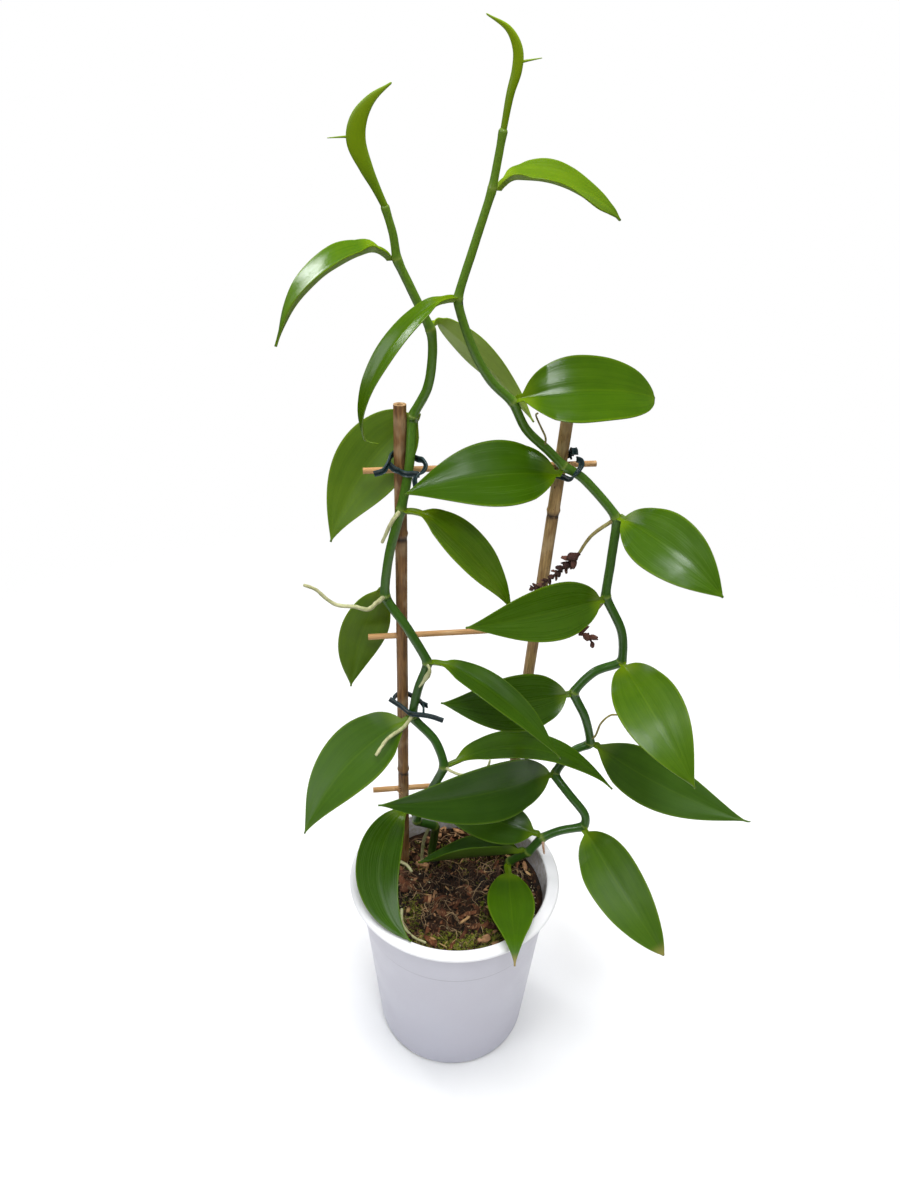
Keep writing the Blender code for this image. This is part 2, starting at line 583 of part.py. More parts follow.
def vine_line(points):
    """A vine's centre line, which bends at its joints, and its radii, which swell there."""
    places = [Vector(p) for _, p in points]
    pull = [BEND_AT_JOINT if joint else 1.0 for joint, _ in points]
    route = smooth_route(places, STEPS_PER_SPAN, pull)
    radii = []
    for i in range(len(route)):
        span = i / STEPS_PER_SPAN
        nearest = round(span)
        swell = 1.0
        if points[nearest][0] and abs(span - nearest) < 0.01:
            swell = JOINT_SWELL
        radii.append(stem_radius(span / (len(points) - 1)) * swell)
    return route, radii


def clearance(points, line, near, reach):
    """The least gap between some points and a vine's skin, over the vine's spans near a place."""
    route, radii = line
    spans = [i for i in range(len(route) - 1) if (route[i] - near).length < reach]
    least = reach
    for point in points:
        for i in spans:
            _, share = geometry.intersect_point_line(point, route[i], route[i + 1])
            share = max(0, min(1, share))
            radius = radii[i] + (radii[i + 1] - radii[i]) * share
            least = min(least, (point - route[i].lerp(route[i + 1], share)).length - radius)
    return least


def seat_distance(points, out, line, near):
    """How far points have to move out from a vine, to stand just clear of its skin."""
    low, high = 0, SEAT_REACH
    for _ in range(12):
        middle = (low + high) / 2
        moved = [point + out * middle for point in points]
        if clearance(moved, line, near, 2 * SEAT_REACH) < TOUCHING:
            low = middle
        else:
            high = middle
    return high


def leaf_half_width(s, width, taper):
    """Half the blade's width at share s of its length: a rounded base and a drawn-out tip."""
    if s <= FULLEST:
        share = (1 - (1 - s / FULLEST) ** 2) ** 0.62
    else:
        run = min(1, (s - FULLEST) / (1 - FULLEST))
        share = (1 - run) ** taper * (1 + taper * run)
    return max(width / 2 * share, 0.35 * MM)


def leaf_frames(start, frame, row, stations):
    """Midrib points with the direction, the sideways and the upward vector at each. The leaf bends
    about its own width: over its neck, along its blade, and once more in a hook at its tip."""
    length = row["length"] * MM
    swing, twist = math.radians(row.get("swing", 0)), math.radians(row.get("twist", 0))
    neck, droop, hook = (math.radians(row.get(key, 0)) for key in ("neck", "droop", "hook"))
    ahead, side, up = frame
    place = start.copy()
    frames = [(place.copy(), ahead.copy(), side.copy(), up.copy())]
    small = 4
    for a, b in zip(stations, stations[1:]):
        step = (b - a) / small
        for k in range(small):
            t = a + (k + 0.5) * step
            bend = neck / NECK_SHARE if t < NECK_SHARE else droop / (1 - NECK_SHARE)
            if t > 1 - HOOK_SHARE:
                bend += hook / HOOK_SHARE
            down = Quaternion(side, -bend * step)
            change = Quaternion(up, swing * step) @ down @ Quaternion(ahead, twist * step)
            place += ahead * (length * step / 2)
            ahead, side, up = change @ ahead, change @ side, change @ up
            place += ahead * (length * step / 2)
        frames.append((place.copy(), ahead.copy(), side.copy(), up.copy()))
    return frames


def stem_direction(joint):
    """Which way the vine runs at a joint."""
    for vine in (LEFT_VINE, RIGHT_VINE):
        names = [name for name, _ in vine]
        if joint in names:
            i = names.index(joint)
            before, after = vine[max(i - 1, 0)][1], vine[min(i + 1, len(vine) - 1)][1]
            return (Vector(after) - Vector(before)).normalized()
    raise KeyError(joint)


def leaf_frame(row):
    """A leaf's direction, sideways and upward vector where it starts."""
    heading, climb, roll = (math.radians(row[key]) for key in ("heading", "climb", "roll"))
    level = Vector((math.cos(heading), math.sin(heading), 0))
    ahead = level * math.cos(climb) + Vector((0, 0, math.sin(climb)))
    up = Vector((0, 0, math.cos(climb))) - level * math.sin(climb)
    turn = Quaternion(ahead, roll)
    return ahead, turn @ ahead.cross(up), turn @ up


def leaf(name, lines):
    """A fleshy blade on a short channelled stalk, seated on its vine. Both faces are cut into
    triangles alike."""
    row = LEAVES[name]
    joint, frame = vine_joint(row["at"]), leaf_frame(row)
    fold, width, taper = math.radians(row["fold"]), row["width"] * MM, row.get("taper", 1.3)
    bare = row["stalk"] / row["length"]
    stations = [0, bare, bare + 0.025 * (1 - bare)]
    stations += [bare + (1 - bare) * (i + 1) / BLADE_STEPS for i in range(BLADE_STEPS)]
    rings = []
    for t, (place, ahead, side, up) in zip(stations, leaf_frames(joint, frame, row, stations)):
        s = max(0, (t - bare) / (1 - bare))
        stalk = STALK_WIDTH / 2 * (1 - 0.15 * min(1, t / bare))
        half = leaf_half_width(s, width, taper)
        if s < FULLEST:
            half = max(half, stalk)
        middle_half = (LEAF_THICK - 0.5 * MM * t) / 2
        opening = fold + math.radians(28) * max(0, 1 - t / 0.2)
        upper, lower = [], []
        for u in ACROSS:
            lift = half * abs(u) ** 1.3 * math.sin(opening)
            middle = place - side * half * u * math.cos(opening) + up * lift
            depth = LEAF_EDGE / 2 + (middle_half - LEAF_EDGE / 2) * (1 - u * u)
            upper.append(middle + up * depth)
            lower.append(middle - up * depth)
        rings.append(upper + lower[::-1])
    stem = stem_direction(row["at"])
    out = (frame[0] - stem * frame[0].dot(stem)).normalized()
    out *= seat_distance([point for ring in rings[:4] for point in ring], out, lines[row["at"][0]], joint)
    rings = [[point + out for point in ring] for ring in rings]
    return object_from(name, skin(rings, other_diagonal=(5, 6, 7, 8, 9)), "leaf", sharp_degrees=60)


def fuse(obj, others):
    """Joins touching pieces into one solid and removes the loose ones."""
    group = bpy.data.collections.new(f"{obj.name}_pieces")
    bpy.context.scene.collection.children.link(group)
    for other in others:
        group.objects.link(other)
    step = obj.modifiers.new("join", "BOOLEAN")
    step.operation = "UNION"
    step.operand_type = "COLLECTION"
    step.collection = group
    step.solver = "MANIFOLD"
    bpy.context.view_layer.update()
    joined = bpy.data.meshes.new_from_object(obj.evaluated_get(bpy.context.evaluated_depsgraph_get()))
    obj.modifiers.clear()
    obj.data = joined
    for other in others:
        bpy.data.objects.remove(other, do_unlink=True)
    bpy.data.collections.remove(group)
    return obj


def swept(name, route, radii, sides, finish, flatten=1.0):
    """A closed tube through a route, of changing radius, squashed across its first sideways vector."""
    rings = []
    ahead = (route[1] - route[0]).normalized()
    side = ahead.orthogonal().normalized()
    for i, place in enumerate(route):
        before, after = route[max(i - 1, 0)], route[min(i + 1, len(route) - 1)]
        ahead = (after - before).normalized()
        side = (side - ahead * side.dot(ahead)).normalized()
        up = ahead.cross(side)
        turns = [math.tau * k / sides for k in range(sides)]
        r = radii[i]
        rings.append([place + side * r * flatten * math.cos(a) + up * r * math.sin(a) for a in turns])
    return object_from(name, skin(rings), finish, sharp_degrees=50)


def spread(values, count):
    """Values at count even places along a list of values."""
    out = []
    for i in range(count):
        at = i / (count - 1) * (len(values) - 1)
        k = min(int(at), len(values) - 2)
        out.append(values[k] + (values[k + 1] - values[k]) * (at - k))
    return out


def young_leaf(name):
    """The folded leaf at a shoot's tip: keeled on one side, open and thin on the other."""
    fold_line, sheath = YOUNG[name]
    places = smooth_route([Vector(p[:3]) * MM for p in fold_line], 2)
    halves = spread([p[3] * MM for p in fold_line], len(places))
    rings = []
    for i, (place, half) in enumerate(zip(places, halves)):
        ahead = (places[min(i + 1, len(places) - 1)] - places[max(i - 1, 0)]).normalized()
        deep = Vector((0, -1, 0))
        deep = (deep - ahead * deep.dot(ahead)).normalized()
        wide = ahead.cross(deep)
        share = i / (len(places) - 1)
        thick = min(half, (1.5 - 1.1 * share) * MM)
        shape = ((1, 0), (0.7, 0.8), (0, 1), (-0.75, 0.62), (-1, 0), (-0.75, -0.62), (0, -1), (0.7, -0.8))
        rings.append([place + wide * half * x + deep * thick * y for x, y in shape])
    leaf_object = object_from(name, skin(rings), "young", sharp_degrees=60)
    line = [Vector(p) * MM for p in sheath]
    spine = swept(f"{name}_sheath", line, [0.7 * MM, 0.5 * MM, 0.25 * MM], 5, "young")
    return fuse(leaf_object, [spine])


def grown_from(points, radius, line):
    """The points, with the first one moved straight towards a vine until it sits on its skin."""
    start = points[0]
    centre = min(line[0], key=lambda place: (place - start).length)
    out = (start - centre).normalized()
    ahead = (points[1] - start).normalized()
    side = ahead.orthogonal().normalized()
    rim = [centre + (Quaternion(ahead, math.tau * k / 6) @ side) * radius for k in range(6)]
    return [centre + out * seat_distance(rim, out, line, centre)] + points[1:]


def root(name, lines):
    """A root, tendril or dried sheath, seated on its vine if it has one."""
    vine_letter, thick, thin, places = ROOTS[name]
    finish = "withered" if name == "dry_sheath" else "root"
    sides = 6 if thick > 0.8 else 5
    points = [Vector(p) * MM for p in places]
    if vine_letter:
        points = grown_from(points, thick * MM, lines[vine_letter])
    route = smooth_route(points, 2)
    return swept(name, route, spread([thick * MM, thin * MM], len(route)), sides, finish)


def spike(name, lines):
    """A withered raceme: its stalk, and the axis with bracts set round it in a spiral."""
    count, stalk, axis = SPIKES[name]
    points = grown_from([Vector(p) * MM for p in stalk], 0.9 * MM, lines["R"])
    line = smooth_route(points, 2)
    swept(f"{name}_stalk", line, spread([0.9 * MM, 0.7 * MM], len(line)), 5, "root")
    line = smooth_route([Vector(p) * MM for p in axis], 2)
    body = swept(f"{name}_bracts", line, spread([1.1 * MM, 0.6 * MM], len(line)), 5, "withered")
    bracts = []
    for i in range(count):
        at = (i + 0.5) / count * (len(line) - 1)
        k = int(at)
        place = line[k].lerp(line[k + 1], at - k)
        ahead = (line[k + 1] - line[k]).normalized()
        turn = Quaternion(ahead, math.radians(137.5) * i)
        out = turn @ ahead.orthogonal().normalized()
        size = (3.6 - 1.2 * i / count + 0.8 * noise.noise(Vector((i * 1.7, 0.4, 0)))) * MM
        lean = (out + ahead * 0.35).normalized()
        bm = bmesh.new()
        bmesh.ops.create_cone(bm, cap_ends=True, segments=4, radius1=0.5 * MM, radius2=0.35 * MM, depth=size)
        for vert in bm.verts:
            if vert.co.z > 0:
                vert.co.x *= 2.6
        bract = object_from(f"{name}_{i}", bm, "withered")
        bract.location = place + lean * size * 0.5
        bract.rotation_mode = "QUATERNION"
        bract.rotation_quaternion = lean.to_track_quat("Z", "X")
        bracts.append(bract)
    return fuse(body, bracts)


def tie(name):
    """A wire-cored plastic tie: flat ribbons bent round a cane and a vine, joined where they cross."""
    strands = []
    for number, strand in enumerate(TIES[name]):
        places = smooth_route([Vector(p[:3]) * MM for p in strand], 2)
        widths = []
        for a, b in zip(strand, strand[1:]):
            widths += [Vector(a[3]), (Vector(a[3]) + Vector(b[3])) / 2]
        widths.append(Vector(strand[-1][3]))
        rings = []
        for i, (place, wide) in enumerate(zip(places, widths)):
            ahead = (places[min(i + 1, len(places) - 1)] - places[max(i - 1, 0)]).normalized()
            wide = (wide - ahead * wide.dot(ahead)).normalized() * TIE_WIDTH / 2
            deep = ahead.cross(wide).normalized() * TIE_THICK / 2
            rings.append([place + wide + deep, place - wide + deep, place - wide - deep, place + wide - deep])
        strands.append(object_from(name if number == 0 else f"{name}_{number}", skin(rings), "tie"))
    return fuse(strands[0], strands[1:])


def build():
    clear_scene()
    pot()
    bark()
    ladder()
    lines = {"L": vine_line(LEFT_VINE), "R": vine_line(RIGHT_VINE)}
    tube("vine_left", *lines["L"], 2, "stem")
    tube("vine_right", *lines["R"], 2, "stem")
    for name in LEAVES:
        leaf(name, lines)
    for name in YOUNG:
        young_leaf(name)
    for name in ROOTS:
        root(name, lines)
    for name in SPIKES:
        spike(name, lines)
    for name in TIES:
        tie(name)


build()
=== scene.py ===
"""A vanilla orchid on a bamboo ladder in a white nursery pot, dressed with its final looks.

Metres, +Z up, in the frame of the solid model. Every leaf, vine, root, spike and tie follows the same
named route or row as its solid, with finer faces and a finish of its own.
"""

import json
import math
import random

import bmesh
import bpy
from mathutils import Matrix, Quaternion, Vector, noise

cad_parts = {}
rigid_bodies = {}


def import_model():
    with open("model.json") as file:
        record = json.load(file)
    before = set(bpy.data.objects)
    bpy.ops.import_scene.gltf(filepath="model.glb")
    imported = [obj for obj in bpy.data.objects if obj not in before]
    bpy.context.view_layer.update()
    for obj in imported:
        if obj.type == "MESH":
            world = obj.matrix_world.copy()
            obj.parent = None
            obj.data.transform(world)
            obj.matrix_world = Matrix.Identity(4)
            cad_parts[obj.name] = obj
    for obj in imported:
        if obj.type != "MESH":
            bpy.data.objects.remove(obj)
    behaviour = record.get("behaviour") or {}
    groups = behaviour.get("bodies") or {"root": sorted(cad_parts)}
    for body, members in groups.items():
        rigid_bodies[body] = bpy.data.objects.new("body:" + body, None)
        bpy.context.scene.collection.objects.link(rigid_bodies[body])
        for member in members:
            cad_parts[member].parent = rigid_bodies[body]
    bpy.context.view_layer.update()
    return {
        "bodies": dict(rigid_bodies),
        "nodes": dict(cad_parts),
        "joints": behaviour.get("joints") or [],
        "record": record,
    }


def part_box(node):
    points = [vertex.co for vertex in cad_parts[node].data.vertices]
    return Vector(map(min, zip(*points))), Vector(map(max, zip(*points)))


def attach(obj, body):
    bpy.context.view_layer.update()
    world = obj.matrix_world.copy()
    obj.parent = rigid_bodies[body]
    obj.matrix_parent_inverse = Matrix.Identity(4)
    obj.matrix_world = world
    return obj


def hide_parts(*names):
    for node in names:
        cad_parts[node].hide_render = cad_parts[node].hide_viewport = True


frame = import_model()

MM = 0.001
SHARP_FROM = math.radians(50)

# Photograph: where it was taken from, and how wide it sees
CAMERA_PLACE = Vector((-0.006, -0.371, 0.510))
CAMERA_DOWN = math.radians(30)
CAMERA_ROLL = math.radians(1.2)
LENS = 27.03
SENSOR = 36.0

# Light that comes evenly from the room, and how strongly waxy skins and the pot reflect
ROOM_LIGHT = 0.25
ROOM_MIRRORED = 0.12
WAXY_SHINE = 0.38
STEM_SHINE = 0.45

# Pot
POT_HEIGHT = 0.1146
POT_FOOT_RADIUS = 0.044
POT_TOP_RADIUS = 0.0545
POT_LIP_RADIUS = 0.060
POT_LIP_DEPTH = 0.0022
POT_WALL = 0.0015
POT_FLOOR = 0.0018
POT_LEDGE_HEIGHT = 0.088
POT_LEDGE_STEP = 0.0006
POT_SIDES = 160
DRAIN_HOLES = 6
DRAIN_RADIUS = 0.0035
DRAIN_CIRCLE = 0.028
DRAIN_SIDES = 24

# Bark mix
BARK_LEVEL = 0.1000
BARK_RELIEF = 0.0040
BARK_CHIP = 0.0105
BARK_RINGS = 90
BARK_SECTORS = 260
LUMP_CORNERS = 14
CHIPS = 680
FINE_SLIVERS = 60
COIR_FIBRES = 620
MOSS_TUFTS = 2300
GRIT_SCRAPS = 90
GRIT_ON_RIGHT = 30

# Bamboo ladder
LADDER_TURN = math.radians(8)
LADDER_ALONG = Vector((math.cos(LADDER_TURN), math.sin(LADDER_TURN), 0))
LEFT_CANE_PLACE = Vector((-0.0305, 0.0245, 0))
CANE_SPACING = 0.0600
CANE_FOOT = 0.026
CANE_TOP = 0.3830
CANE_RADIUS = 0.0030
CANE_SIDES = 28
CANE_STEPS = 150
CANE_LEAN = math.radians(3.8)
CANE_JOINT_HEIGHTS = {"cane_left": (0.170, 0.318), "cane_right": (0.205, 0.328)}
RUNG_RADIUS = 0.0016
RUNG_HEIGHTS = {"rung_lower": 0.1560, "rung_middle": 0.2600, "rung_upper": 0.3515}
RUNG_OVERHANG = 0.0175
RUNG_SIDES = 18
RUNG_STEPS = 60
SPLINTERS = 9

# Vines
STEM_BASE_RADIUS = 0.0024
STEM_TIP_RADIUS = 0.0015
STEM_TAPER = 4
JOINT_SWELL = 0.16
JOINT_REACH = 0.0026
STEPS_PER_SPAN = 10
BEND_AT_JOINT = 0.45
STEM_SIDES = 20

# Leaves: what gives the solid its form, then, from FINE_STEPS on, what only the dressed leaf has
LEAF_THICK = 0.0018
LEAF_EDGE = 0.0007
STALK_WIDTH = 0.0044
STALK_FOLD = math.radians(28)
NECK_SHARE = 0.16
HOOK_SHARE = 0.22
FULLEST = 0.38
PLAIN_STEPS = 11
PLAIN_ACROSS = (-1, -0.58, 0, 0.58, 1)
FINE_STEPS = 56
STALK_STEPS = 8
FINE_ACROSS = 19
RIB_GROOVE = 0.00035
RIB_KEEL = 0.00055
CURL_STEP = 0.0006
CURL_TURN = 9
CURL_THINNING = 0.86
UNDERSIDE_PALE = 0.26

# Young leaves, roots, withered spikes and ties
YOUNG_STEPS = 9
SPUR_STEPS = 6
SPUR_SIDES = 12
ROOT_SIDES = 14
ROOT_STEPS = 9
THICKENED_ROOT = "root_left_4"
SPIKE_SIDES = 12
SPIKE_STEPS = 10
HUSK_PUFF = 1.15
HUSK_TURN = math.radians(137.5)
TIE_WIDTH = 0.0030
TIE_THICK = 0.0011
TIE_STEPS = 8
TIE_SHARP_FROM = math.radians(45)

# Routes of the two vines. A named point is a joint, which a leaf, root or spike can grow from.
LEFT_VINE = [
    (None, (-0.0140, 0.0260, 0.0640)),
    (None, (-0.0140, 0.0260, 0.1000)),
    (None, (-0.0125, 0.0240, 0.1180)),
    ("L0", (-0.0120, 0.0200, 0.1310)),
    ("L1", (-0.0225, 0.0140, 0.1410)),
    (None, (-0.0176, 0.0115, 0.1586)),
    ("L2", (-0.0075, 0.0080, 0.1860)),
    (None, (-0.0125, 0.0120, 0.2010)),
    ("L3", (-0.0245, 0.0165, 0.2130)),
    (None, (-0.0220, 0.0165, 0.2310)),
    ("L4", (-0.0170, 0.0150, 0.2495)),
    (None, (-0.0270, 0.0155, 0.2695)),
    ("L5", (-0.0384, 0.0200, 0.2854)),
    (None, (-0.0361, 0.0180, 0.3092)),
    ("L6", (-0.0300, 0.0178, 0.3340)),
    (None, (-0.0260, 0.0195, 0.3560)),
    ("L7", (-0.0248, 0.0245, 0.3770)),
    (None, (-0.0180, 0.0215, 0.3915)),
    (None, (-0.0158, 0.0180, 0.4070)),
    ("L8", (-0.0165, 0.0160, 0.4180)),
    (None, (-0.0240, 0.0130, 0.4340)),
    ("L9", (-0.0300, 0.0100, 0.4470)),
    (None, (-0.0315, 0.0080, 0.4570)),
    ("L10", (-0.0343, 0.0060, 0.4670)),
]
RIGHT_VINE = [
    (None, (0.0320, 0.0190, 0.0640)),
    (None, (0.0320, 0.0190, 0.0990)),
    ("R0", (0.0330, 0.0150, 0.1090)),
    ("R1", (0.0420, 0.0070, 0.1250)),
    ("R2", (0.0490, 0.0060, 0.1370)),
    (None, (0.0590, 0.0080, 0.1410)),
    ("R3", (0.0725, 0.0100, 0.1430)),
    (None, (0.0728, 0.0112, 0.1510)),
    (None, (0.0627, 0.0140, 0.1640)),
    ("R4", (0.0553, 0.0210, 0.1717)),
    (None, (0.0644, 0.0260, 0.1837)),
    ("R5", (0.0739, 0.0260, 0.1903)),
    (None, (0.0692, 0.0240, 0.2094)),
    ("R6", (0.0616, 0.0240, 0.2259)),
    (None, (0.0715, 0.0260, 0.2383)),
    ("R7", (0.0853, 0.0270, 0.2445)),
    (None, (0.0832, 0.0260, 0.2640)),
    ("R8", (0.0730, 0.0260, 0.2845)),
    (None, (0.0733, 0.0260, 0.3055)),
    ("R9", (0.0732, 0.0260, 0.3285)),
    (None, (0.0568, 0.0270, 0.3470)),
    ("R10", (0.0464, 0.0275, 0.3535)),
    (None, (0.0380, 0.0260, 0.3620)),
    (None, (0.0270, 0.0230, 0.3730)),
    ("R11", (0.0200, 0.0180, 0.3870)),
    (None, (0.0093, 0.0140, 0.3980)),
    (None, (0.0006, 0.0100, 0.4140)),
    ("R12", (-0.0053, 0.0080, 0.4325)),
    (None, (0.0009, 0.0060, 0.4545)),
    ("R13", (0.0067, 0.0040, 0.4740)),
    ("R14", (0.0099, 0.0020, 0.4940)),
]
JOINTS = {name: Vector(place) for name, place in LEFT_VINE + RIGHT_VINE if name}

# One row a leaf. It grows at a joint with a length, width and stalk in millimetres. Degrees set the
# compass heading (0 is +X, 90 is +Y) and climb at its base, the roll of its face, the bend of its
# neck, the droop of its blade, the hook of its tip, the sideways swing, the twist and the fold of
# each half. taper sets how drawn-out the tip is.
LEAVES = {
    "leaf_left_1": dict(at="L1", length=89, width=27, stalk=9, heading=-157, climb=72, roll=14, neck=102,
                        droop=13, swing=105, fold=12),
    "leaf_left_2": dict(at="L2", length=98, width=24, stalk=5, heading=24, climb=19, roll=-3, neck=8,
                        droop=47, twist=5, fold=16, swing=-49),
    "leaf_left_3": dict(at="L3", length=82, width=38, stalk=3, heading=-153, climb=-12, roll=-14, neck=10,
                        droop=27, fold=8, swing=27),
    "leaf_left_4": dict(at="L4", length=84, width=18, stalk=6, heading=-31, climb=26, roll=11, neck=42,
                        droop=39, twist=10, fold=16, swing=-5),
    "leaf_left_5": dict(at="L5", length=72, width=26, stalk=11, heading=88, climb=39, roll=-143, neck=-135,
                        droop=5, swing=26, fold=8),
    "leaf_left_6": dict(at="L6", length=76, width=25, stalk=7, heading=-26, climb=22, roll=15, neck=62,
                        droop=25, hook=15, twist=10, fold=14),
    "leaf_left_7": dict(at="L7", length=86, width=34, stalk=9, heading=61, climb=2, roll=-130, neck=-112,
                        droop=0, swing=42, fold=8),
    "leaf_left_8": dict(at="L8", length=83, width=15, stalk=8, heading=83, climb=25, roll=-30, neck=71,
                        droop=36, fold=12, swing=-14, hook=11),
    "leaf_left_9": dict(at="L9", length=66, width=28, stalk=6, heading=-160, climb=66, roll=-10, neck=84,
                        droop=52, hook=2, fold=16, swing=12),
    "leaf_right_0": dict(at="R0", length=79, width=26, stalk=9, heading=-90, climb=30, roll=0, neck=21,
                         droop=-9, hook=70, fold=6, taper=1.4),
    "leaf_right_1": dict(at="R1", length=61, width=26, stalk=3, heading=182, climb=-6, roll=26, neck=0,
                         droop=4, fold=38),
    "leaf_right_2": dict(at="R2", length=62, width=26, stalk=3, heading=172, climb=14, roll=-30, neck=0,
                         droop=30, fold=10),
    "leaf_right_3": dict(at="R3", length=78, width=31, stalk=2, heading=-64, climb=-12, roll=44, neck=-6,
                         droop=37, fold=10, taper=0.9, swing=-7),
    "leaf_right_4": dict(at="R4", length=109, width=33, stalk=2, heading=-148, climb=13, roll=-73, neck=-14,
                         droop=44, fold=10, swing=3),
    "leaf_right_5": dict(at="R5", length=96, width=30, stalk=2, heading=-6, climb=-38, roll=52, neck=-6,
                         droop=-23, fold=8, swing=16),
    "leaf_right_6": dict(at="R6", length=71, width=31, stalk=2, heading=-162, climb=-2, roll=-69, neck=-7,
                         droop=21, fold=8, swing=-13),
    "leaf_right_7": dict(at="R7", length=76, width=33, stalk=2, heading=-77, climb=1, roll=22, neck=15,
                         droop=53, fold=8, swing=6),
    "leaf_right_8": dict(at="R8", length=78, width=28, stalk=2, heading=-147, climb=5, roll=-68, neck=-9,
                         droop=39, fold=8, swing=1),
    "leaf_right_9": dict(at="R9", length=62, width=31, stalk=2, heading=-47, climb=-4, roll=41, neck=7,
                         droop=36, fold=8, taper=1.1, swing=-10),
    "leaf_right_10": dict(at="R10", length=75, width=34, stalk=2, heading=-165, climb=6, roll=-40, neck=-3,
                          droop=23, fold=8, swing=11),
    "leaf_right_11": dict(at="R11", length=70, width=31, stalk=2, heading=3, climb=11, roll=53, neck=1,
                          droop=47, fold=8, taper=0.6, swing=-6),
    "leaf_right_12": dict(at="R12", length=78, width=12, stalk=4, heading=-137, climb=16, roll=-14, neck=49,
                          droop=66, hook=19, fold=22, swing=-3),
    "leaf_right_13": dict(at="R13", length=60, width=22, stalk=4, heading=10, climb=68, roll=5, neck=71,
                          droop=36, fold=15, hook=4, twist=43, swing=-6),
}


# Each shoot ends in a young leaf still folded round its tip: places along it with the half-width
# across the fold in millimetres. A hair-thin sheath tip stands off sideways from one of the places.
YOUNG = {
    "young_left": (
        [(-34.4, 5.9, 467.3, 1.4), (-37.7, 5, 474, 1.8), (-41.2, 4, 481, 2.7), (-44.4, 3, 489.5, 3.7),
         (-43.1, 2, 497, 3.2), (-38.2, 1, 503.6, 1.7), (-31, 0, 508.6, 0.4)],
        [(-45, 3, 490.8), (-48.4, 3, 491), (-55, 3, 490.5)],
    ),
    "young_right": (
        [(10, 2, 494.3, 1.2), (11.8, 1, 505.6, 1.5), (13.8, 0, 513.5, 1.9), (13.6, -1, 520, 1.8),
         (9.9, -2, 525.8, 1.1), (2.5, -3, 529.7, 0.3)],
        [(13.8, 0, 515.6), (16.6, 0, 516.2), (22.4, 0, 517.2)],
    ),
}

# Roots and thin tendrils: millimetres, from the vine outwards, with the radius at both ends
ROOTS = {
    "root_left_6": ("L", 1.1, 0.8, [
        (-30.8, 14.2, 334.6), (-33.5, 12, 331.2), (-35.9, 11, 326.5), (-38.5, 10, 320.7)]),
    "root_left_5": ("L", 1.2, 0.8, [
        (-38.4, 16.9, 286.3), (-42.2, 13, 285.7), (-46.2, 9.6, 283.9), (-52.3, 8.6, 285.9), (-60.4, 8, 286.8),
        (-65.6, 8, 290), (-71, 8, 295.4), (-76.4, 8, 297.7)]),
    "root_left_4": ("L", 1.1, 0.7, [
        (-18.2, 11.2, 250.2), (-15.6, 10.4, 248.2), (-17.3, 10.2, 243.7), (-20.9, 10.4, 237.4)]),
    "root_left_3": ("L", 1.1, 0.9, [
        (-24.6, 11, 215.4), (-29.4, 6.2, 213.8), (-35, 2.2, 211.8), (-38.5, -1.2, 210), (-42.6, -7, 206.2)]),
    "root_left_2": ("L", 0.8, 0.6, [
        (-6.4, 4.2, 187.2), (-1.5, 2, 187.4), (4.3, -0.6, 188.4), (11.6, -2.8, 193), (15.7, -4, 197.6),
        (16.6, -4.4, 202)]),
    "root_bark_rear": ("L", 1.0, 0.9, [
        (-16.6, 17.2, 131.5), (-18.4, 17.6, 122), (-19.4, 18.9, 111), (-19.7, 20.6, 100.2)]),
    "root_bark_left": (None, 1.2, 0.9, [
        (-38.8, 23.4, 101), (-33.6, 20.2, 101.6), (-28.8, 17.5, 101.5), (-25.6, 13.6, 100.5)]),
    "root_bark_front": (None, 0.9, 0.7, [
        (-29.7, -15.4, 100.9), (-29.4, -21.8, 101), (-26.8, -29, 100.8), (-21.6, -35, 101.1),
        (-15.6, -38.6, 101.8)]),
    "tendril_right_5": ("R", 0.6, 0.5, [
        (75.3, 22.4, 193.4), (75.8, 22.4, 198.8), (78, 23.2, 206.4), (83, 26, 209.8), (88, 28, 208.9)]),
    "tendril_right_10": ("R", 0.5, 0.4, [
        (37.4, 22.8, 366), (36, 22, 369.5), (33.5, 21, 374.7), (30.8, 20, 380.4), (31.4, 19.4, 381.8)]),
    "dry_sheath": ("R", 0.9, 0.5, [
        (49.3, 2.4, 138.6), (49.9, 1.2, 134), (50.6, 1.4, 129.6)]),
}

# Withered flower spikes: a thin stalk, then an axis thickly set with shrivelled bracts
SPIKES = {
    "spike_upper": (26, [(70.4, 24.2, 327.2), (63.7, 24.8, 321), (60, 25.4, 315.5), (57.3, 25.4, 309.8)],
                    [(57.2, 25.4, 309.2), (53.1, 25.6, 304.4), (48.6, 26, 299.2), (44, 26.2, 294.2),
                     (39.4, 27, 289.8), (35.5, 28.6, 287.2)]),
    "spike_lower": (6, [(71.6, 29.2, 281.6), (69.6, 30.5, 273.8), (66.4, 30.6, 266.6), (60.6, 29.4, 260.6)],
                    [(61.8, 29.4, 260), (65.8, 29.2, 259.2), (69.2, 28, 255.4)]),
}

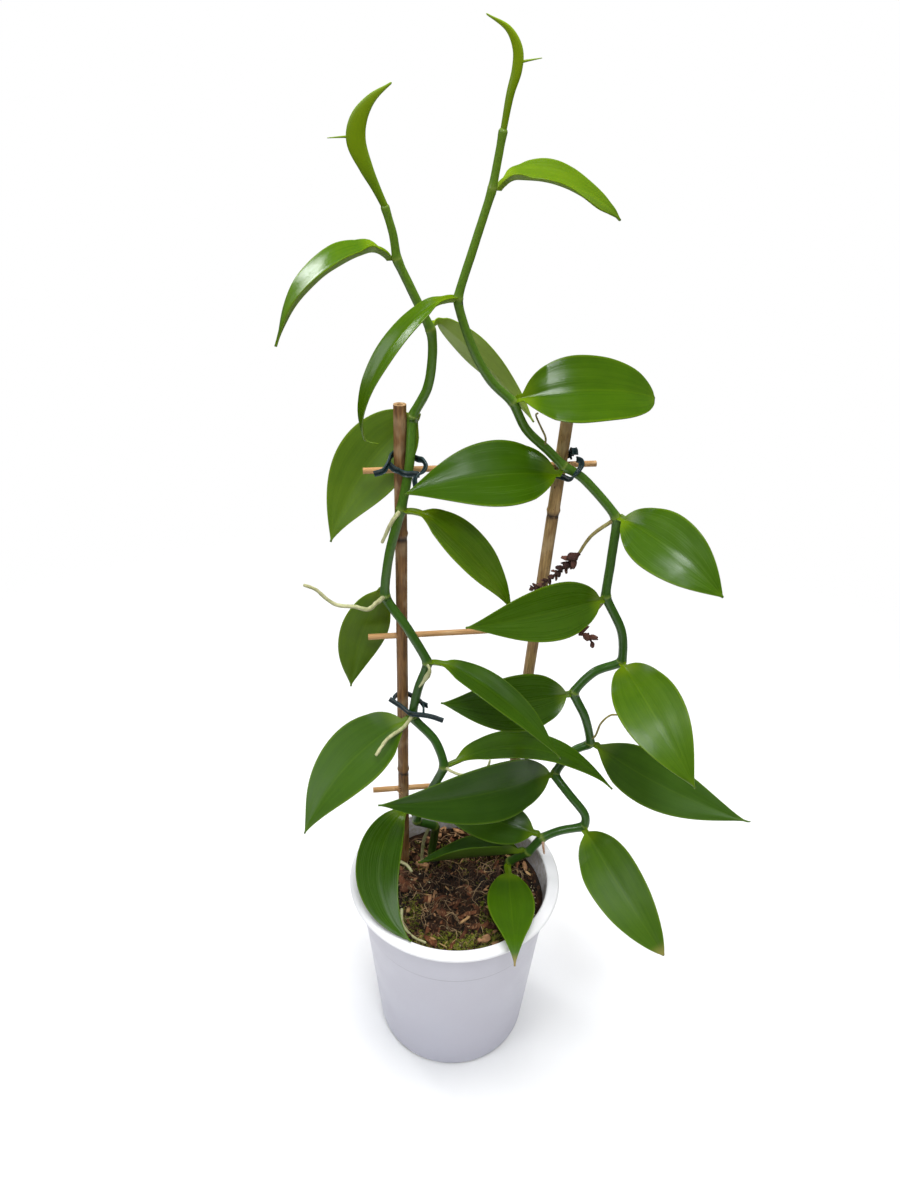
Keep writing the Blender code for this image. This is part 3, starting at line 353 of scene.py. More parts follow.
# Twist ties: each strand is a flat ribbon through places in millimetres, with the direction its
# width points in
UP = (0, 0, 1)
ACROSS_X = (1, 0, 0)
TIES = {
    "tie_left_upper": [
        [(-42.2, 17, 352.1, UP), (-37.8, 17.6, 353.6, UP), (-35.6, 20.6, 356.6, UP), (-35, 24.2, 358, UP),
         (-33.2, 28, 358.4, UP), (-30, 29, 358.4, UP), (-26.8, 27.4, 358.3, UP), (-23.8, 23.6, 358, UP),
         (-21.8, 20, 358.6, (0.3, -0.3, 0.9)), (-19.8, 17.4, 359.2, (0.5, -0.8, 0.5)),
         (-18.4, 15.8, 357.4, (0.5, -0.9, 0)), (-19.3, 14.8, 355, (0.2, -0.9, 0)),
         (-21.6, 14.2, 353.2, (0, -0.9, 0.4)), (-23.3, 13.5, 351.2, (0.6, -0.8, 0)),
         (-22.8, 13, 348, (0.8, -0.6, 0))],
        [(-35.4, 20.2, 355.8, UP), (-33.2, 20, 353.6, UP), (-31, 19.6, 352.9, UP), (-28.9, 17, 352.8, UP),
         (-26.6, 15.6, 352.9, UP), (-24, 15.6, 353.1, UP), (-21.4, 14.2, 353.4, UP)],
    ],
    "tie_right": [
        [(50.4, 35.2, 355.6, UP), (50, 37.8, 355.6, UP), (46.4, 39.8, 353, UP), (42.4, 38.8, 349.6, UP),
         (40.6, 35.4, 348, UP), (41.6, 31.6, 348, UP), (44.4, 29.8, 348, UP), (46.8, 27.6, 348, UP),
         (48.8, 24.8, 348.6, (0.2, -0.5, 0.8)), (51.2, 23.4, 351.4, (0.5, -0.6, 0.6)),
         (53.8, 25, 354.6, (0.7, -0.3, 0.5)), (54, 28, 356.2, (0.7, 0.3, 0.5)), (52.4, 31, 356, UP)],
        [(50.3, 37.4, 355.4, ACROSS_X), (50.7, 37.2, 357.6, ACROSS_X), (51, 35.4, 359.8, ACROSS_X),
         (51.4, 33.2, 359.6, ACROSS_X), (51.6, 31.6, 358, ACROSS_X)],
    ],
    "tie_left_lower": [
        [(-37.4, 21.6, 221.2, UP), (-33.8, 20.2, 219.4, UP), (-31, 18.8, 218.4, UP), (-28, 15.6, 218.1, UP),
         (-25.6, 13, 218.2, UP), (-22.2, 12.2, 218.2, UP), (-19, 12, 218.1, UP), (-14, 11, 217.8, UP),
         (-8.2, 10, 216.2, UP)],
        [(-34.6, 20.9, 219.6, UP), (-35.3, 24.6, 219.6, UP), (-32.6, 28.6, 219.8, UP),
         (-28.6, 28.2, 220.2, UP), (-24, 24, 220.8, UP), (-20.8, 20, 221.2, UP), (-19, 16.4, 220.8, UP),
         (-18.8, 12.4, 218.9, UP)],
        [(-20.3, 18.6, 221.2, UP), (-16.8, 15.6, 221.6, UP)],
    ],
}

# How each leaf looks: tone runs from a dark mature green at 0 to the yellow-green of new growth at 1,
# and each leaf's tone holds both its age and painted light and shade, set to how light that leaf looks;
# dull is its upper face's roughness, wave is the height in millimetres of the ripple in its edge, dry is
# how far its tip has dried out, pale is how light its lower face is, and curl is the number of steps of
# the thread that its tip ends in.
LEAF_LOOKS = {
    "leaf_left_1": dict(tone=0.14, dull=0.26, wave=0.5),
    "leaf_left_2": dict(tone=0.20, dull=0.30, wave=0.5),
    "leaf_left_3": dict(tone=0.24, dull=0.42, wave=0.6),
    "leaf_left_4": dict(tone=0.20, dull=0.30, wave=0.4, curl=5),
    "leaf_left_5": dict(tone=0.58, dull=0.50, wave=0.6),
    "leaf_left_6": dict(tone=0.52, dull=0.26, wave=0.6, curl=10),
    "leaf_left_7": dict(tone=0.58, dull=0.50, wave=0.8),
    # leaf_left_8's pale lower face is partly its own paler colour and partly painted light, for light passing
    # through the leaf.
    "leaf_left_8": dict(tone=0.66, dull=0.38, wave=0.5, pale=0.70),
    "leaf_left_9": dict(tone=0.50, dull=0.19, wave=0.6),
    "leaf_right_0": dict(tone=0.28, dull=0.34, wave=0.4, dry=0.8),
    "leaf_right_1": dict(tone=0.02, dull=0.36, wave=0.9, pale=0.12),
    "leaf_right_2": dict(tone=0.12, dull=0.36, wave=0.5),
    "leaf_right_3": dict(tone=0.34, dull=0.36, wave=0.4, dry=0.5),
    "leaf_right_4": dict(tone=0.06, dull=0.36, wave=0.6),
    "leaf_right_5": dict(tone=0.18, dull=0.40, wave=0.5, curl=4),
    "leaf_right_6": dict(tone=0.20, dull=0.28, wave=0.5),
    "leaf_right_7": dict(tone=0.44, dull=0.32, wave=0.5),
    "leaf_right_8": dict(tone=0.30, dull=0.28, wave=0.5),
    "leaf_right_9": dict(tone=0.30, dull=0.24, wave=0.5),
    "leaf_right_10": dict(tone=0.20, dull=0.22, wave=0.5),
    "leaf_right_11": dict(tone=0.34, dull=0.18, wave=0.4),
    "leaf_right_12": dict(tone=0.42, dull=0.22, wave=0.4, curl=12),
    "leaf_right_13": dict(tone=0.60, dull=0.34, wave=1.2),
}
YOUNG_TONES = {"young_left": 0.90, "young_right": 1.00}


# Colours in linear light

def from_srgb(red, green, blue):
    """A display colour of 0 to 255 in linear light, with full alpha."""
    shares = [value / 255 for value in (red, green, blue)]
    linear = [s / 12.92 if s <= 0.04045 else ((s + 0.055) / 1.055) ** 2.4 for s in shares]
    return (*linear, 1)


def mixed(a, b, share):
    return tuple(x + (y - x) * share for x, y in zip(a, b))


BLACK = from_srgb(0, 0, 0)
GREEN_DARK = from_srgb(34, 66, 3)
GREEN_FULL = from_srgb(68, 105, 3)
GREEN_NEW = from_srgb(130, 156, 8)


def green(tone):
    """Leaf green from mature to new growth."""
    if tone < 0.5:
        return mixed(GREEN_DARK, GREEN_FULL, tone * 2)
    return mixed(GREEN_FULL, GREEN_NEW, tone * 2 - 1)


# Camera, light and floor

def camera():
    data = bpy.data.cameras.new("camera")
    data.lens = LENS
    data.sensor_width = SENSOR
    data.clip_start = 0.01
    data.clip_end = 20
    obj = bpy.data.objects.new("camera", data)
    bpy.context.scene.collection.objects.link(obj)
    level_right = Vector((1, 0, 0))
    ahead = Vector((0, math.cos(CAMERA_DOWN), -math.sin(CAMERA_DOWN)))
    level_up = Vector((0, math.sin(CAMERA_DOWN), math.cos(CAMERA_DOWN)))
    right = level_right * math.cos(CAMERA_ROLL) + level_up * math.sin(CAMERA_ROLL)
    up = level_up * math.cos(CAMERA_ROLL) - level_right * math.sin(CAMERA_ROLL)
    facing = Matrix((right, up, -ahead)).transposed().to_4x4()
    obj.matrix_world = Matrix.Translation(CAMERA_PLACE) @ facing
    bpy.context.scene.camera = obj


def soft_light(name, place, aim, size, power, colour=(1, 1, 1), mirrored=True):
    """A panel of light. One that isn't mirrored brightens what it reaches but makes no highlights."""
    data = bpy.data.lights.new(name, "AREA")
    data.shape = "RECTANGLE"
    data.size, data.size_y = size
    data.energy = power
    data.color = colour
    obj = bpy.data.objects.new(name, data)
    bpy.context.scene.collection.objects.link(obj)
    obj.location = place
    obj.rotation_euler = (Vector(aim) - Vector(place)).to_track_quat("-Z", "Y").to_euler()
    obj.visible_glossy = mirrored


def studio():
    """A pale floor under soft light from overhead and from windows in front, behind and on the left."""
    soft_light("overhead", (0.05, 0.10, 1.60), (0, 0, 0.30), (1.2, 1.0), 25.0, mirrored=False)
    soft_light("window_front", (0.18, -0.78, 1.42), (0, 0, 0.35), (0.34, 0.26), 6.0, (0.93, 0.97, 1))
    soft_light("window_back", (-0.98, 0.92, 1.15), (0, 0, 0.42), (0.34, 0.28), 4.0, (0.97, 0.99, 1))
    soft_light("window_left", (-1.10, -0.75, 1.05), (0, 0, 0.30), (0.7, 0.9), 7.0, (0.95, 0.98, 1))
    soft_light("fill_right", (1.20, -0.60, 0.60), (0, 0, 0.25), (0.9, 0.9), 2.5, (1, 0.98, 0.95),
               mirrored=False)
    world = bpy.data.worlds.new("studio")
    bpy.context.scene.world = world
    world.use_nodes = True
    t = Tree(world.node_tree)
    shade = world.node_tree.nodes["Background"]
    shade.inputs["Color"].default_value = (1, 1, 1, 1)
    path = t.node("ShaderNodeLightPath").outputs
    dimmed = t.math("MULTIPLY", path["Is Glossy Ray"], ROOM_MIRRORED - ROOM_LIGHT)
    bright = t.math("MULTIPLY", path["Is Camera Ray"], 1 - ROOM_LIGHT)
    t.feed(shade.inputs["Strength"], t.math("ADD", t.math("ADD", bright, dimmed), ROOM_LIGHT))
    bm = bmesh.new()
    bmesh.ops.create_grid(bm, x_segments=8, y_segments=8, size=4)
    mesh = bpy.data.meshes.new("floor")
    bm.to_mesh(mesh)
    bm.free()
    floor = bpy.data.objects.new("floor", mesh)
    bpy.context.scene.collection.objects.link(floor)
    floor.data.materials.append(floor_material())
    bpy.context.scene.view_settings.view_transform = "Standard"


# Node groups that several materials share

def new_group(name, inputs, outputs):
    group = bpy.data.node_groups.new(name, "ShaderNodeTree")
    for label, kind, value in inputs:
        socket = group.interface.new_socket(label, in_out="INPUT", socket_type=kind)
        if value is not None:
            socket.default_value = value
    for label, kind in outputs:
        group.interface.new_socket(label, in_out="OUTPUT", socket_type=kind)
    return Tree(group)


class Tree:
    """Short calls for adding linked nodes to a node tree."""

    def __init__(self, tree):
        self.tree = tree

    def node(self, kind, settings=None, **inputs):
        made = self.tree.nodes.new(kind)
        for name, value in (settings or {}).items():
            setattr(made, name, value)
        for label, value in inputs.items():
            self.feed(made.inputs[label.replace("_", " ")], value)
        return made

    def feed(self, socket, value):
        if isinstance(value, bpy.types.NodeSocket):
            self.tree.links.new(value, socket)
        else:
            socket.default_value = value

    def math(self, operation, *values):
        made = self.tree.nodes.new("ShaderNodeMath")
        made.operation = operation
        for socket, value in zip(made.inputs, values):
            self.feed(socket, value)
        return made.outputs[0]

    def band(self, value, low, high, start=0.0, end=1.0):
        """Maps value from low..high to start..end with soft shoulders."""
        made = self.node("ShaderNodeMapRange", {"interpolation_type": "SMOOTHSTEP"})
        for label, number in zip(("Value", "From Min", "From Max", "To Min", "To Max"),
                                 (value, low, high, start, end)):
            self.feed(made.inputs[label], number)
        return made.outputs["Result"]

    def mix(self, share, a, b):
        made = self.node("ShaderNodeMix", {"data_type": "RGBA"})
        self.feed(made.inputs[0], share)
        self.feed(made.inputs[6], a)
        self.feed(made.inputs[7], b)
        return made.outputs[2]

    def tint(self, body, mask, share, colour):
        """Lays a colour over body where the mask is, up to a share."""
        return self.mix(self.math("MULTIPLY", mask, share), body, colour)

    def mark(self, label):
        """The number that a mesh carries at its points."""
        return self.node("ShaderNodeAttribute", {"attribute_name": label}).outputs["Fac"]

    def surface_map(self, label):
        return self.node("ShaderNodeUVMap", {"uv_map": label}).outputs["UV"]

    def place(self):
        """Where a point lies on its object, in metres."""
        return self.node("ShaderNodeTexCoord").outputs["Object"]

    def noise(self, vector, scale, detail=3.0, roughness=0.55):
        made = self.node("ShaderNodeTexNoise", Vector=vector, Scale=scale, Detail=detail, Roughness=roughness)
        return made.outputs["Fac"]

    def stretched(self, vector, scale):
        made = self.node("ShaderNodeMapping", Vector=vector)
        made.inputs["Scale"].default_value = scale
        return made.outputs["Vector"]

    def group(self, name, **inputs):
        made = self.tree.nodes.new("ShaderNodeGroup")
        made.node_tree = bpy.data.node_groups[name]
        for label, value in inputs.items():
            self.feed(made.inputs[label.replace("_", " ")], value)
        return made.outputs


def surface_group():
    """Fine pores and soft blotches at a scale per metre, for any dry or waxy surface."""
    t = new_group("surface", [("Scale", "NodeSocketFloat", 100.0)],
                  [("Blotch", "NodeSocketFloat"), ("Grain", "NodeSocketFloat")])
    given = t.node("NodeGroupInput").outputs
    place = t.place()
    blotch = t.noise(place, given["Scale"], 4.0, 0.6)
    grain = t.noise(place, t.math("MULTIPLY", given["Scale"], 9.0), 2.0, 0.5)
    out = t.node("NodeGroupOutput")
    t.feed(out.inputs["Blotch"], t.band(blotch, 0.30, 0.70))
    t.feed(out.inputs["Grain"], grain)


def leaf_group():
    """Masks over a leaf from its map: its veins, edge, midrib, base and tip, and the cells of its skin."""
    t = new_group("leaf_masks", [], [(mask, "NodeSocketFloat")
                                     for mask in ("Veins", "Edge", "Rib", "Base", "Tip", "Cells")])
    leaf_map = t.surface_map("leaf_map")
    split = t.node("ShaderNodeSeparateXYZ", Vector=leaf_map)
    across, along = split.outputs["X"], split.outputs["Y"]
    from_middle = t.math("ABSOLUTE", t.math("SUBTRACT", across, 0.5))
    fine = t.noise(t.stretched(leaf_map, (46, 1.6, 1)), 1.0, 3.0, 0.6)
    broad = t.noise(t.stretched(leaf_map, (11, 1.0, 1)), 1.0, 2.0, 0.5)
    veins = t.math("ADD", t.math("MULTIPLY", fine, 0.65), t.math("MULTIPLY", broad, 0.35))
    place = t.place()
    cells = t.node("ShaderNodeTexVoronoi", Vector=place, Scale=1500.0).outputs["Distance"]
    out = t.node("NodeGroupOutput")
    t.feed(out.inputs["Veins"], veins)
    t.feed(out.inputs["Edge"], t.band(from_middle, 0.455, 0.495))
    t.feed(out.inputs["Rib"], t.band(from_middle, 0.022, 0.004))
    t.feed(out.inputs["Base"], t.band(along, 0.13, 0.0))
    t.feed(out.inputs["Tip"], t.band(along, 0.90, 1.0))
    t.feed(out.inputs["Cells"], cells)


# Materials

def new_material(name, base, roughness):
    """A material with its shader, whose constants are set on the shader itself."""
    made = bpy.data.materials.new(name)
    made.use_nodes = True
    made.diffuse_color = base
    shader = made.node_tree.nodes["Principled BSDF"]
    shader.inputs["Base Color"].default_value = base
    shader.inputs["Roughness"].default_value = roughness
    return made, Tree(made.node_tree), shader


def paint(t, shader, colour, height, strength, depth):
    """The shader's colour, and a fine relief of the given strength and depth in metres."""
    t.feed(shader.inputs["Base Color"], colour)
    relief = t.node("ShaderNodeBump", Height=height, Strength=strength, Distance=depth)
    t.feed(shader.inputs["Normal"], relief.outputs["Normal"])


def fleshy(shader, weight, colour, depth, shine=WAXY_SHINE):
    """Light that passes a little way into living tissue or thin plastic, and how strongly it shines."""
    for label, value in (("Weight", weight), ("Radius", colour), ("Scale", depth)):
        shader.inputs[f"Subsurface {label}"].default_value = value
    shader.inputs["Specular IOR Level"].default_value = shine


def floor_material():
    """Pale paper, lit evenly white away from the pot so that no horizon shows."""
    made, t, shader = new_material("pale_floor", (0.90, 0.90, 0.90, 1), 0.8)
    masks = t.group("surface", Scale=6.0)
    place = t.place()
    reach = t.node("ShaderNodeVectorMath", {"operation": "LENGTH"}, Vector=place).outputs["Value"]
    white = t.band(reach, 0.14, 0.75)
    paper = t.mix(masks["Blotch"], (0.89, 0.89, 0.90, 1), (0.92, 0.92, 0.92, 1))
    seen = t.node("ShaderNodeLightPath").outputs["Is Camera Ray"]
    unseen = t.math("SUBTRACT", 1.0, seen)
    t.feed(shader.inputs["Base Color"], t.tint(paper, white, unseen, BLACK))
    t.feed(shader.inputs["Alpha"], t.math("SUBTRACT", 1.0, t.math("MULTIPLY", white, seen)))
    shader.inputs["Specular IOR Level"].default_value = 0.0
    return made


def leaf_top(name, tone, dull, dry):
    """The waxy upper face: veined green with a pale edge, midrib, tip and base."""
    base = green(tone)
    made, t, shader = new_material(f"{name}_top", base, dull)
    masks = t.group("leaf_masks")
    soft = t.group("surface", Scale=70.0)
    deep, light = mixed(base, BLACK, 0.10), mixed(base, green(min(1, tone + 0.35)), 0.14)
    body = t.mix(t.band(masks["Veins"], 0.36, 0.64), deep, light)
    body = t.tint(body, soft["Blotch"], 0.22, green(min(1, tone + 0.22)))
    pale = green(min(1, tone * 0.5 + 0.62))
    body = t.tint(body, masks["Rib"], 0.10, pale)
    body = t.tint(body, masks["Tip"], 0.30, pale)
    body = t.tint(body, masks["Base"], 0.75, pale)
    body = t.tint(body, masks["Edge"], 0.42, pale)
    if dry:
        body = t.tint(body, masks["Tip"], dry, from_srgb(176, 148, 96))
    t.feed(shader.inputs["Roughness"], t.band(masks["Veins"], 0.30, 0.70, dull - 0.05, dull + 0.08))
    fleshy(shader, 0.10, (0.5, 1.0, 0.15), 0.0012)
    height = t.math("ADD", masks["Veins"], t.math("MULTIPLY", masks["Cells"], 0.03))
    paint(t, shader, body, height, 0.22, 0.0003)
    return made


def leaf_under(name, tone, pale):
    """The paler, duller lower face, with a raised midrib."""
    base = mixed(green(min(1, tone + 0.16)), from_srgb(176, 204, 92), pale)
    made, t, shader = new_material(f"{name}_under", base, 0.48)
    masks = t.group("leaf_masks")
    soft = t.group("surface", Scale=60.0)
    body = t.mix(t.band(masks["Veins"], 0.34, 0.66), mixed(base, BLACK, 0.14), base)
    body = t.tint(body, soft["Blotch"], 0.25, green(min(1, tone + 0.1)))
    body = t.tint(body, masks["Edge"], 0.5, green(min(1, tone * 0.5 + 0.62)))
    body = t.tint(body, masks["Base"], 0.7, green(0.78))
    fleshy(shader, 0.10, (0.5, 1.0, 0.15), 0.0012)
    paint(t, shader, body, masks["Veins"], 0.3, 0.0003)
    return made


def stem_material():
    """Smooth green skin, darker low down and brighter near the tips, with pale joints."""
    made, t, shader = new_material("stem_skin", from_srgb(40, 70, 30), 0.30)
    age = t.mark("age")
    ring = t.mark("ring")
    skin_map = t.surface_map("skin_map")
    streaks = t.noise(t.stretched(skin_map, (14, 60, 1)), 1.0, 3.0, 0.6)
    soft = t.group("surface", Scale=90.0)
    body = t.mix(t.band(age, 0.30, 0.75), from_srgb(50, 90, 24), from_srgb(82, 122, 28))
    body = t.mix(t.band(age, 0.72, 1.0), body, from_srgb(106, 140, 36))
    body = t.mix(t.band(streaks, 0.40, 0.70, 0.0, 0.30), body, from_srgb(26, 54, 18))
    body = t.tint(body, soft["Blotch"], 0.20, from_srgb(76, 112, 36))
    body = t.tint(body, ring, 0.70, from_srgb(128, 148, 62))
    fleshy(shader, 0.05, (0.5, 1.0, 0.2), 0.001, STEM_SHINE)
    paint(t, shader, body, streaks, 0.15, 0.0002)
    return made


def young_material(name, tone):
    """Tender new growth: yellow-green, darker along the stalk."""
    made, t, shader = new_material(name, green(tone), 0.36)
    along = t.mark("age")
    soft = t.group("surface", Scale=80.0)
    skin_map = t.surface_map("skin_map")
    streaks = t.noise(t.stretched(skin_map, (26, 3, 1)), 1.0, 3.0, 0.6)
    body = t.mix(t.band(along, 0.10, 0.55), green(tone - 0.24), green(tone))
    body = t.mix(t.band(along, 0.75, 1.0, 0.0, 0.5), body, green(1))
    body = t.mix(t.band(streaks, 0.42, 0.68, 0.0, 0.16), body, green(tone - 0.20))
    body = t.tint(body, soft["Blotch"], 0.15, green(min(1, tone + 0.1)))
    fleshy(shader, 0.15, (0.6, 1.0, 0.15), 0.0012)
    paint(t, shader, body, streaks, 0.15, 0.0002)
    return made


def root_material(name, pale, dark, stain):
    """Dull skin of an aerial root, pale with greener and browner stretches."""
    made, t, shader = new_material(name, pale, 0.62)
    soft = t.group("surface", Scale=150.0)
    skin_map = t.surface_map("skin_map")
    rings = t.noise(t.stretched(skin_map, (3, 26, 1)), 1.0, 4.0, 0.6)
    body = t.mix(t.band(rings, 0.40, 0.66), pale, dark)
    body = t.tint(body, soft["Blotch"], stain, from_srgb(112, 84, 52))
    paint(t, shader, body, t.math("ADD", rings, soft["Grain"]), 0.35, 0.0003)
    return made


def withered_material():
    """Shrivelled brown tissue."""
    made, t, shader = new_material("withered", from_srgb(84, 50, 42), 0.75)
    soft = t.group("surface", Scale=320.0)
    shade = t.mark("shade")
    body = t.mix(shade, from_srgb(58, 32, 28), from_srgb(126, 82, 66))
    body = t.tint(body, soft["Blotch"], 0.5, from_srgb(50, 28, 24))
    paint(t, shader, body, t.math("ADD", soft["Blotch"], soft["Grain"]), 0.6, 0.0004)
    return made


def cane_material(name, light, dark, spots):
    """Dry bamboo: long grain, brown joint scars and small dark specks."""
    made, t, shader = new_material(name, light, 0.55)
    ring = t.mark("ring")
    skin_map = t.surface_map("skin_map")
    grain = t.noise(t.stretched(skin_map, (18, 7, 1)), 1.0, 5.0, 0.65)
    broad = t.noise(t.stretched(skin_map, (3, 5, 1)), 1.0, 3.0, 0.6)
    faded = t.noise(t.stretched(skin_map, (1.5, 4, 1)), 1.7, 2.0, 0.5)
    soft = t.group("surface", Scale=260.0)
    body = t.mix(t.band(grain, 0.32, 0.70), dark, light)
    body = t.mix(t.band(faded, 0.46, 0.66, 0.0, 0.55), body, mixed(light, (0.78, 0.62, 0.40, 1), 0.45))
    body = t.mix(t.band(broad, 0.45, 0.72, 0.0, 0.55), body, mixed(dark, (0.03, 0.02, 0.015, 1), 0.3))
    speck = t.band(t.noise(skin_map, 34.0, 2.0, 0.5), 0.66, 0.72, 0.0, spots)
    body = t.mix(speck, body, from_srgb(44, 26, 18))
    patchy = t.math("MULTIPLY", ring, t.band(soft["Blotch"], 0.2, 0.6, 0.3, 1.0))
    body = t.mix(patchy, body, from_srgb(52, 32, 22))
    t.feed(shader.inputs["Roughness"], t.band(grain, 0.3, 0.7, 0.45, 0.68))
    paint(t, shader, body, t.math("ADD", grain, t.math("MULTIPLY", soft["Grain"], 0.3)), 0.45, 0.0005)
    return made


def pith_material():
    """The pale, crumbly wood of a cut cane."""
    made, t, shader = new_material("cut_end", from_srgb(196, 160, 112), 0.8)
    soft = t.group("surface", Scale=700.0)
    body = t.mix(soft["Blotch"], from_srgb(150, 112, 72), from_srgb(206, 172, 126))
    paint(t, shader, body, soft["Grain"], 0.6, 0.0003)
    return made


def plastic_material():
    """White moulded plastic, a little translucent, with faint scuffs and a dusty inside. Its colour also
    carries painted shade towards the foot and in a thin line at the ledge, and a painted highlight on the
    lip.
    """
    made, t, shader = new_material("pot_plastic", from_srgb(228, 226, 234), 0.36)
    inside = t.mark("inside")
    soft = t.group("surface", Scale=28.0)
    fine = t.group("surface", Scale=420.0)
    place = t.place()
    height = t.node("ShaderNodeSeparateXYZ", Vector=place).outputs["Z"]
    # Painted shade: the body is darker towards the foot.
    body = t.mix(t.band(height, 0.0, 0.10), from_srgb(178, 178, 191), from_srgb(202, 201, 211))
    body = t.tint(body, soft["Blotch"], 0.25, from_srgb(196, 192, 202))
    # Painted shade: a thin darker line under the ledge step.
    off_ledge = t.math("ABSOLUTE", t.math("SUBTRACT", height, POT_LEDGE_HEIGHT))
    body = t.mix(t.band(off_ledge, 0.0003, 0.0009, 0.45, 0.0), body, from_srgb(140, 138, 150))
    # Painted highlight: the lip is lighter than the rest of the same plastic.
    body = t.mix(t.band(height, POT_HEIGHT - 0.0032, POT_HEIGHT - 0.0022), body, from_srgb(238, 237, 240))
    dusty = t.math("MULTIPLY", inside, t.band(fine["Blotch"], 0.2, 0.9, 0.35, 0.9))
    body = t.mix(dusty, body, from_srgb(168, 164, 156))
    t.feed(shader.inputs["Roughness"], t.band(soft["Blotch"], 0, 1, 0.32, 0.46))
    fleshy(shader, 0.12, (1.0, 0.95, 0.95), 0.004)
    paint(t, shader, body, t.math("ADD", fine["Blotch"], fine["Grain"]), 0.10, 0.0002)
    return made


def bark_material(name, dark, middle, light):
    """Damp bark: each chip has its own shade."""
    made, t, shader = new_material(name, middle, 0.9)
    shade = t.mark("shade")
    soft = t.group("surface", Scale=240.0)
    place = t.place()
    fibres = t.noise(t.stretched(place, (900, 260, 900)), 1.0, 4.0, 0.65)
    body = t.mix(t.band(shade, 0.0, 0.6), dark, middle)
    body = t.mix(t.band(shade, 0.6, 1.0), body, light)
    body = t.tint(body, soft["Blotch"], 0.55, dark)
    body = t.mix(t.band(fibres, 0.50, 0.75, 0.0, 0.5), body, light)
    paint(t, shader, body, t.math("ADD", soft["Grain"], fibres), 0.8, 0.0006)
    return made


def shaded_material(name, low, high, roughness, scale=500.0, glow=0.0):
    """Small scattered things whose shade attribute runs between two colours."""
    made, t, shader = new_material(name, mixed(low, high, 0.5), roughness)
    shade = t.mark("shade")
    soft = t.group("surface", Scale=scale)
    body = t.mix(shade, low, high)
    body = t.tint(body, soft["Blotch"], 0.3, low)
    if glow:
        fleshy(shader, glow, (0.6, 1.0, 0.2), 0.0006)
    paint(t, shader, body, soft["Grain"], 0.4, 0.0003)
    return made


def tie_material():
    """Dark teal plastic, paler along its ribs."""
    made, t, shader = new_material("tie_plastic", from_srgb(24, 46, 48), 0.33)
    soft = t.group("surface", Scale=300.0)
    rib = t.mark("ring")
    body = t.mix(rib, from_srgb(20, 40, 44), from_srgb(46, 66, 68))
    body = t.tint(body, soft["Blotch"], 0.35, from_srgb(14, 26, 30))
    t.feed(shader.inputs["Roughness"], t.band(soft["Blotch"], 0, 1, 0.26, 0.44))
    paint(t, shader, body, soft["Grain"], 0.3, 0.0002)
    return made


# Meshes from rings of points

def piece(mesh, *materials):
    """A finished piece, named as its mesh is, that rides on the root body."""
    obj = bpy.data.objects.new(mesh.name, mesh)
    bpy.context.scene.collection.objects.link(obj)
    for found in materials:
        mesh.materials.append(found)
    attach(obj, "root")
    return obj


def mesh_from(name, points, faces):
    mesh = bpy.data.meshes.new(name)
    mesh.from_pydata(points, [], faces)
    mesh.shade_smooth()
    return mesh


def write_marks(mesh, label, values):
    """A number for each point, which the materials read under its label."""
    mesh.attributes.new(label, "FLOAT", "POINT").data.foreach_set("value", values)


def write_map(mesh, label, corners):
    """A surface map from a pair of numbers for each face corner, in face order."""
    layer = mesh.uv_layers.new(name=label)
    layer.data.foreach_set("uv", [number for pair in corners for number in pair])


def outwards(mesh):
    """Turns every face outwards."""
    bm = bmesh.new()
    bm.from_mesh(mesh)
    bmesh.ops.recalc_face_normals(bm, faces=bm.faces)
    bm.to_mesh(mesh)
    bm.free()
    return mesh


def tube_faces(rings, sides):
    """The faces of a closed tube, ring by ring and then its two ends."""
    faces = []
    for first in range(0, (rings - 1) * sides, sides):
        for j in range(sides):
            k = (j + 1) % sides
            faces.append((first + j, first + k, first + sides + k, first + sides + j))
    last = (rings - 1) * sides
    return faces + [tuple(range(sides))[::-1], tuple(range(last, last + sides))]


def tube_mesh(name, rings, marks=None):
    """A closed tube over rings of equal count, mapped round (0 to 1) and along (metres times ten).
    marks holds a number for each ring under each attribute name."""
    sides = len(rings[0])
    along = [0.0]
    for a, b in zip(rings, rings[1:]):
        along.append(along[-1] + (b[0] - a[0]).length * 10)
    corners = []
    for low, high in zip(along, along[1:]):
        for j in range(sides):
            left, right = j / sides, (j + 1) / sides
            corners += [(left, low), (right, low), (right, high), (left, high)]
    corners += [(0.5, 0.0)] * sides + [(0.5, along[-1])] * sides
    points = [p for ring in rings for p in ring]
    mesh = mesh_from(name, points, tube_faces(len(rings), sides))
    for label, values in (marks or {}).items():
        write_marks(mesh, label, [value for value in values for _ in range(sides)])
    write_map(mesh, "skin_map", corners)
    return outwards(mesh)


# Curves

def hermite(a, b, leave, arrive, t):
    """The point at share t of a smooth span from a to b with the given end tangents."""
    t2, t3 = t * t, t * t * t
    return (
        a * (2 * t3 - 3 * t2 + 1)
        + leave * (t3 - 2 * t2 + t)
        + b * (3 * t2 - 2 * t3)
        + arrive * (t3 - t2)
    )


def smooth_route(points, steps, pull=None):
    """Points along a smooth curve through the given ones. pull shortens the tangents at some of them."""
    pull = pull or [1.0] * len(points)
    slopes = []
    for i in range(len(points)):
        before = points[max(i - 1, 0)]
        after = points[min(i + 1, len(points) - 1)]
        slopes.append((after - before) / (2 if 0 < i < len(points) - 1 else 1) * pull[i])
    route = []
    for i in range(len(points) - 1):
        for s in range(steps):
            route.append(hermite(points[i], points[i + 1], slopes[i], slopes[i + 1], s / steps))
    route.append(points[-1])
    return route


def spread(values, count):
    """Values at count even places along a list of values."""
    out = []
    for i in range(count):
        at = i / (count - 1) * (len(values) - 1)
        k = min(int(at), len(values) - 2)
        out.append(values[k] + (values[k + 1] - values[k]) * (at - k))
    return out


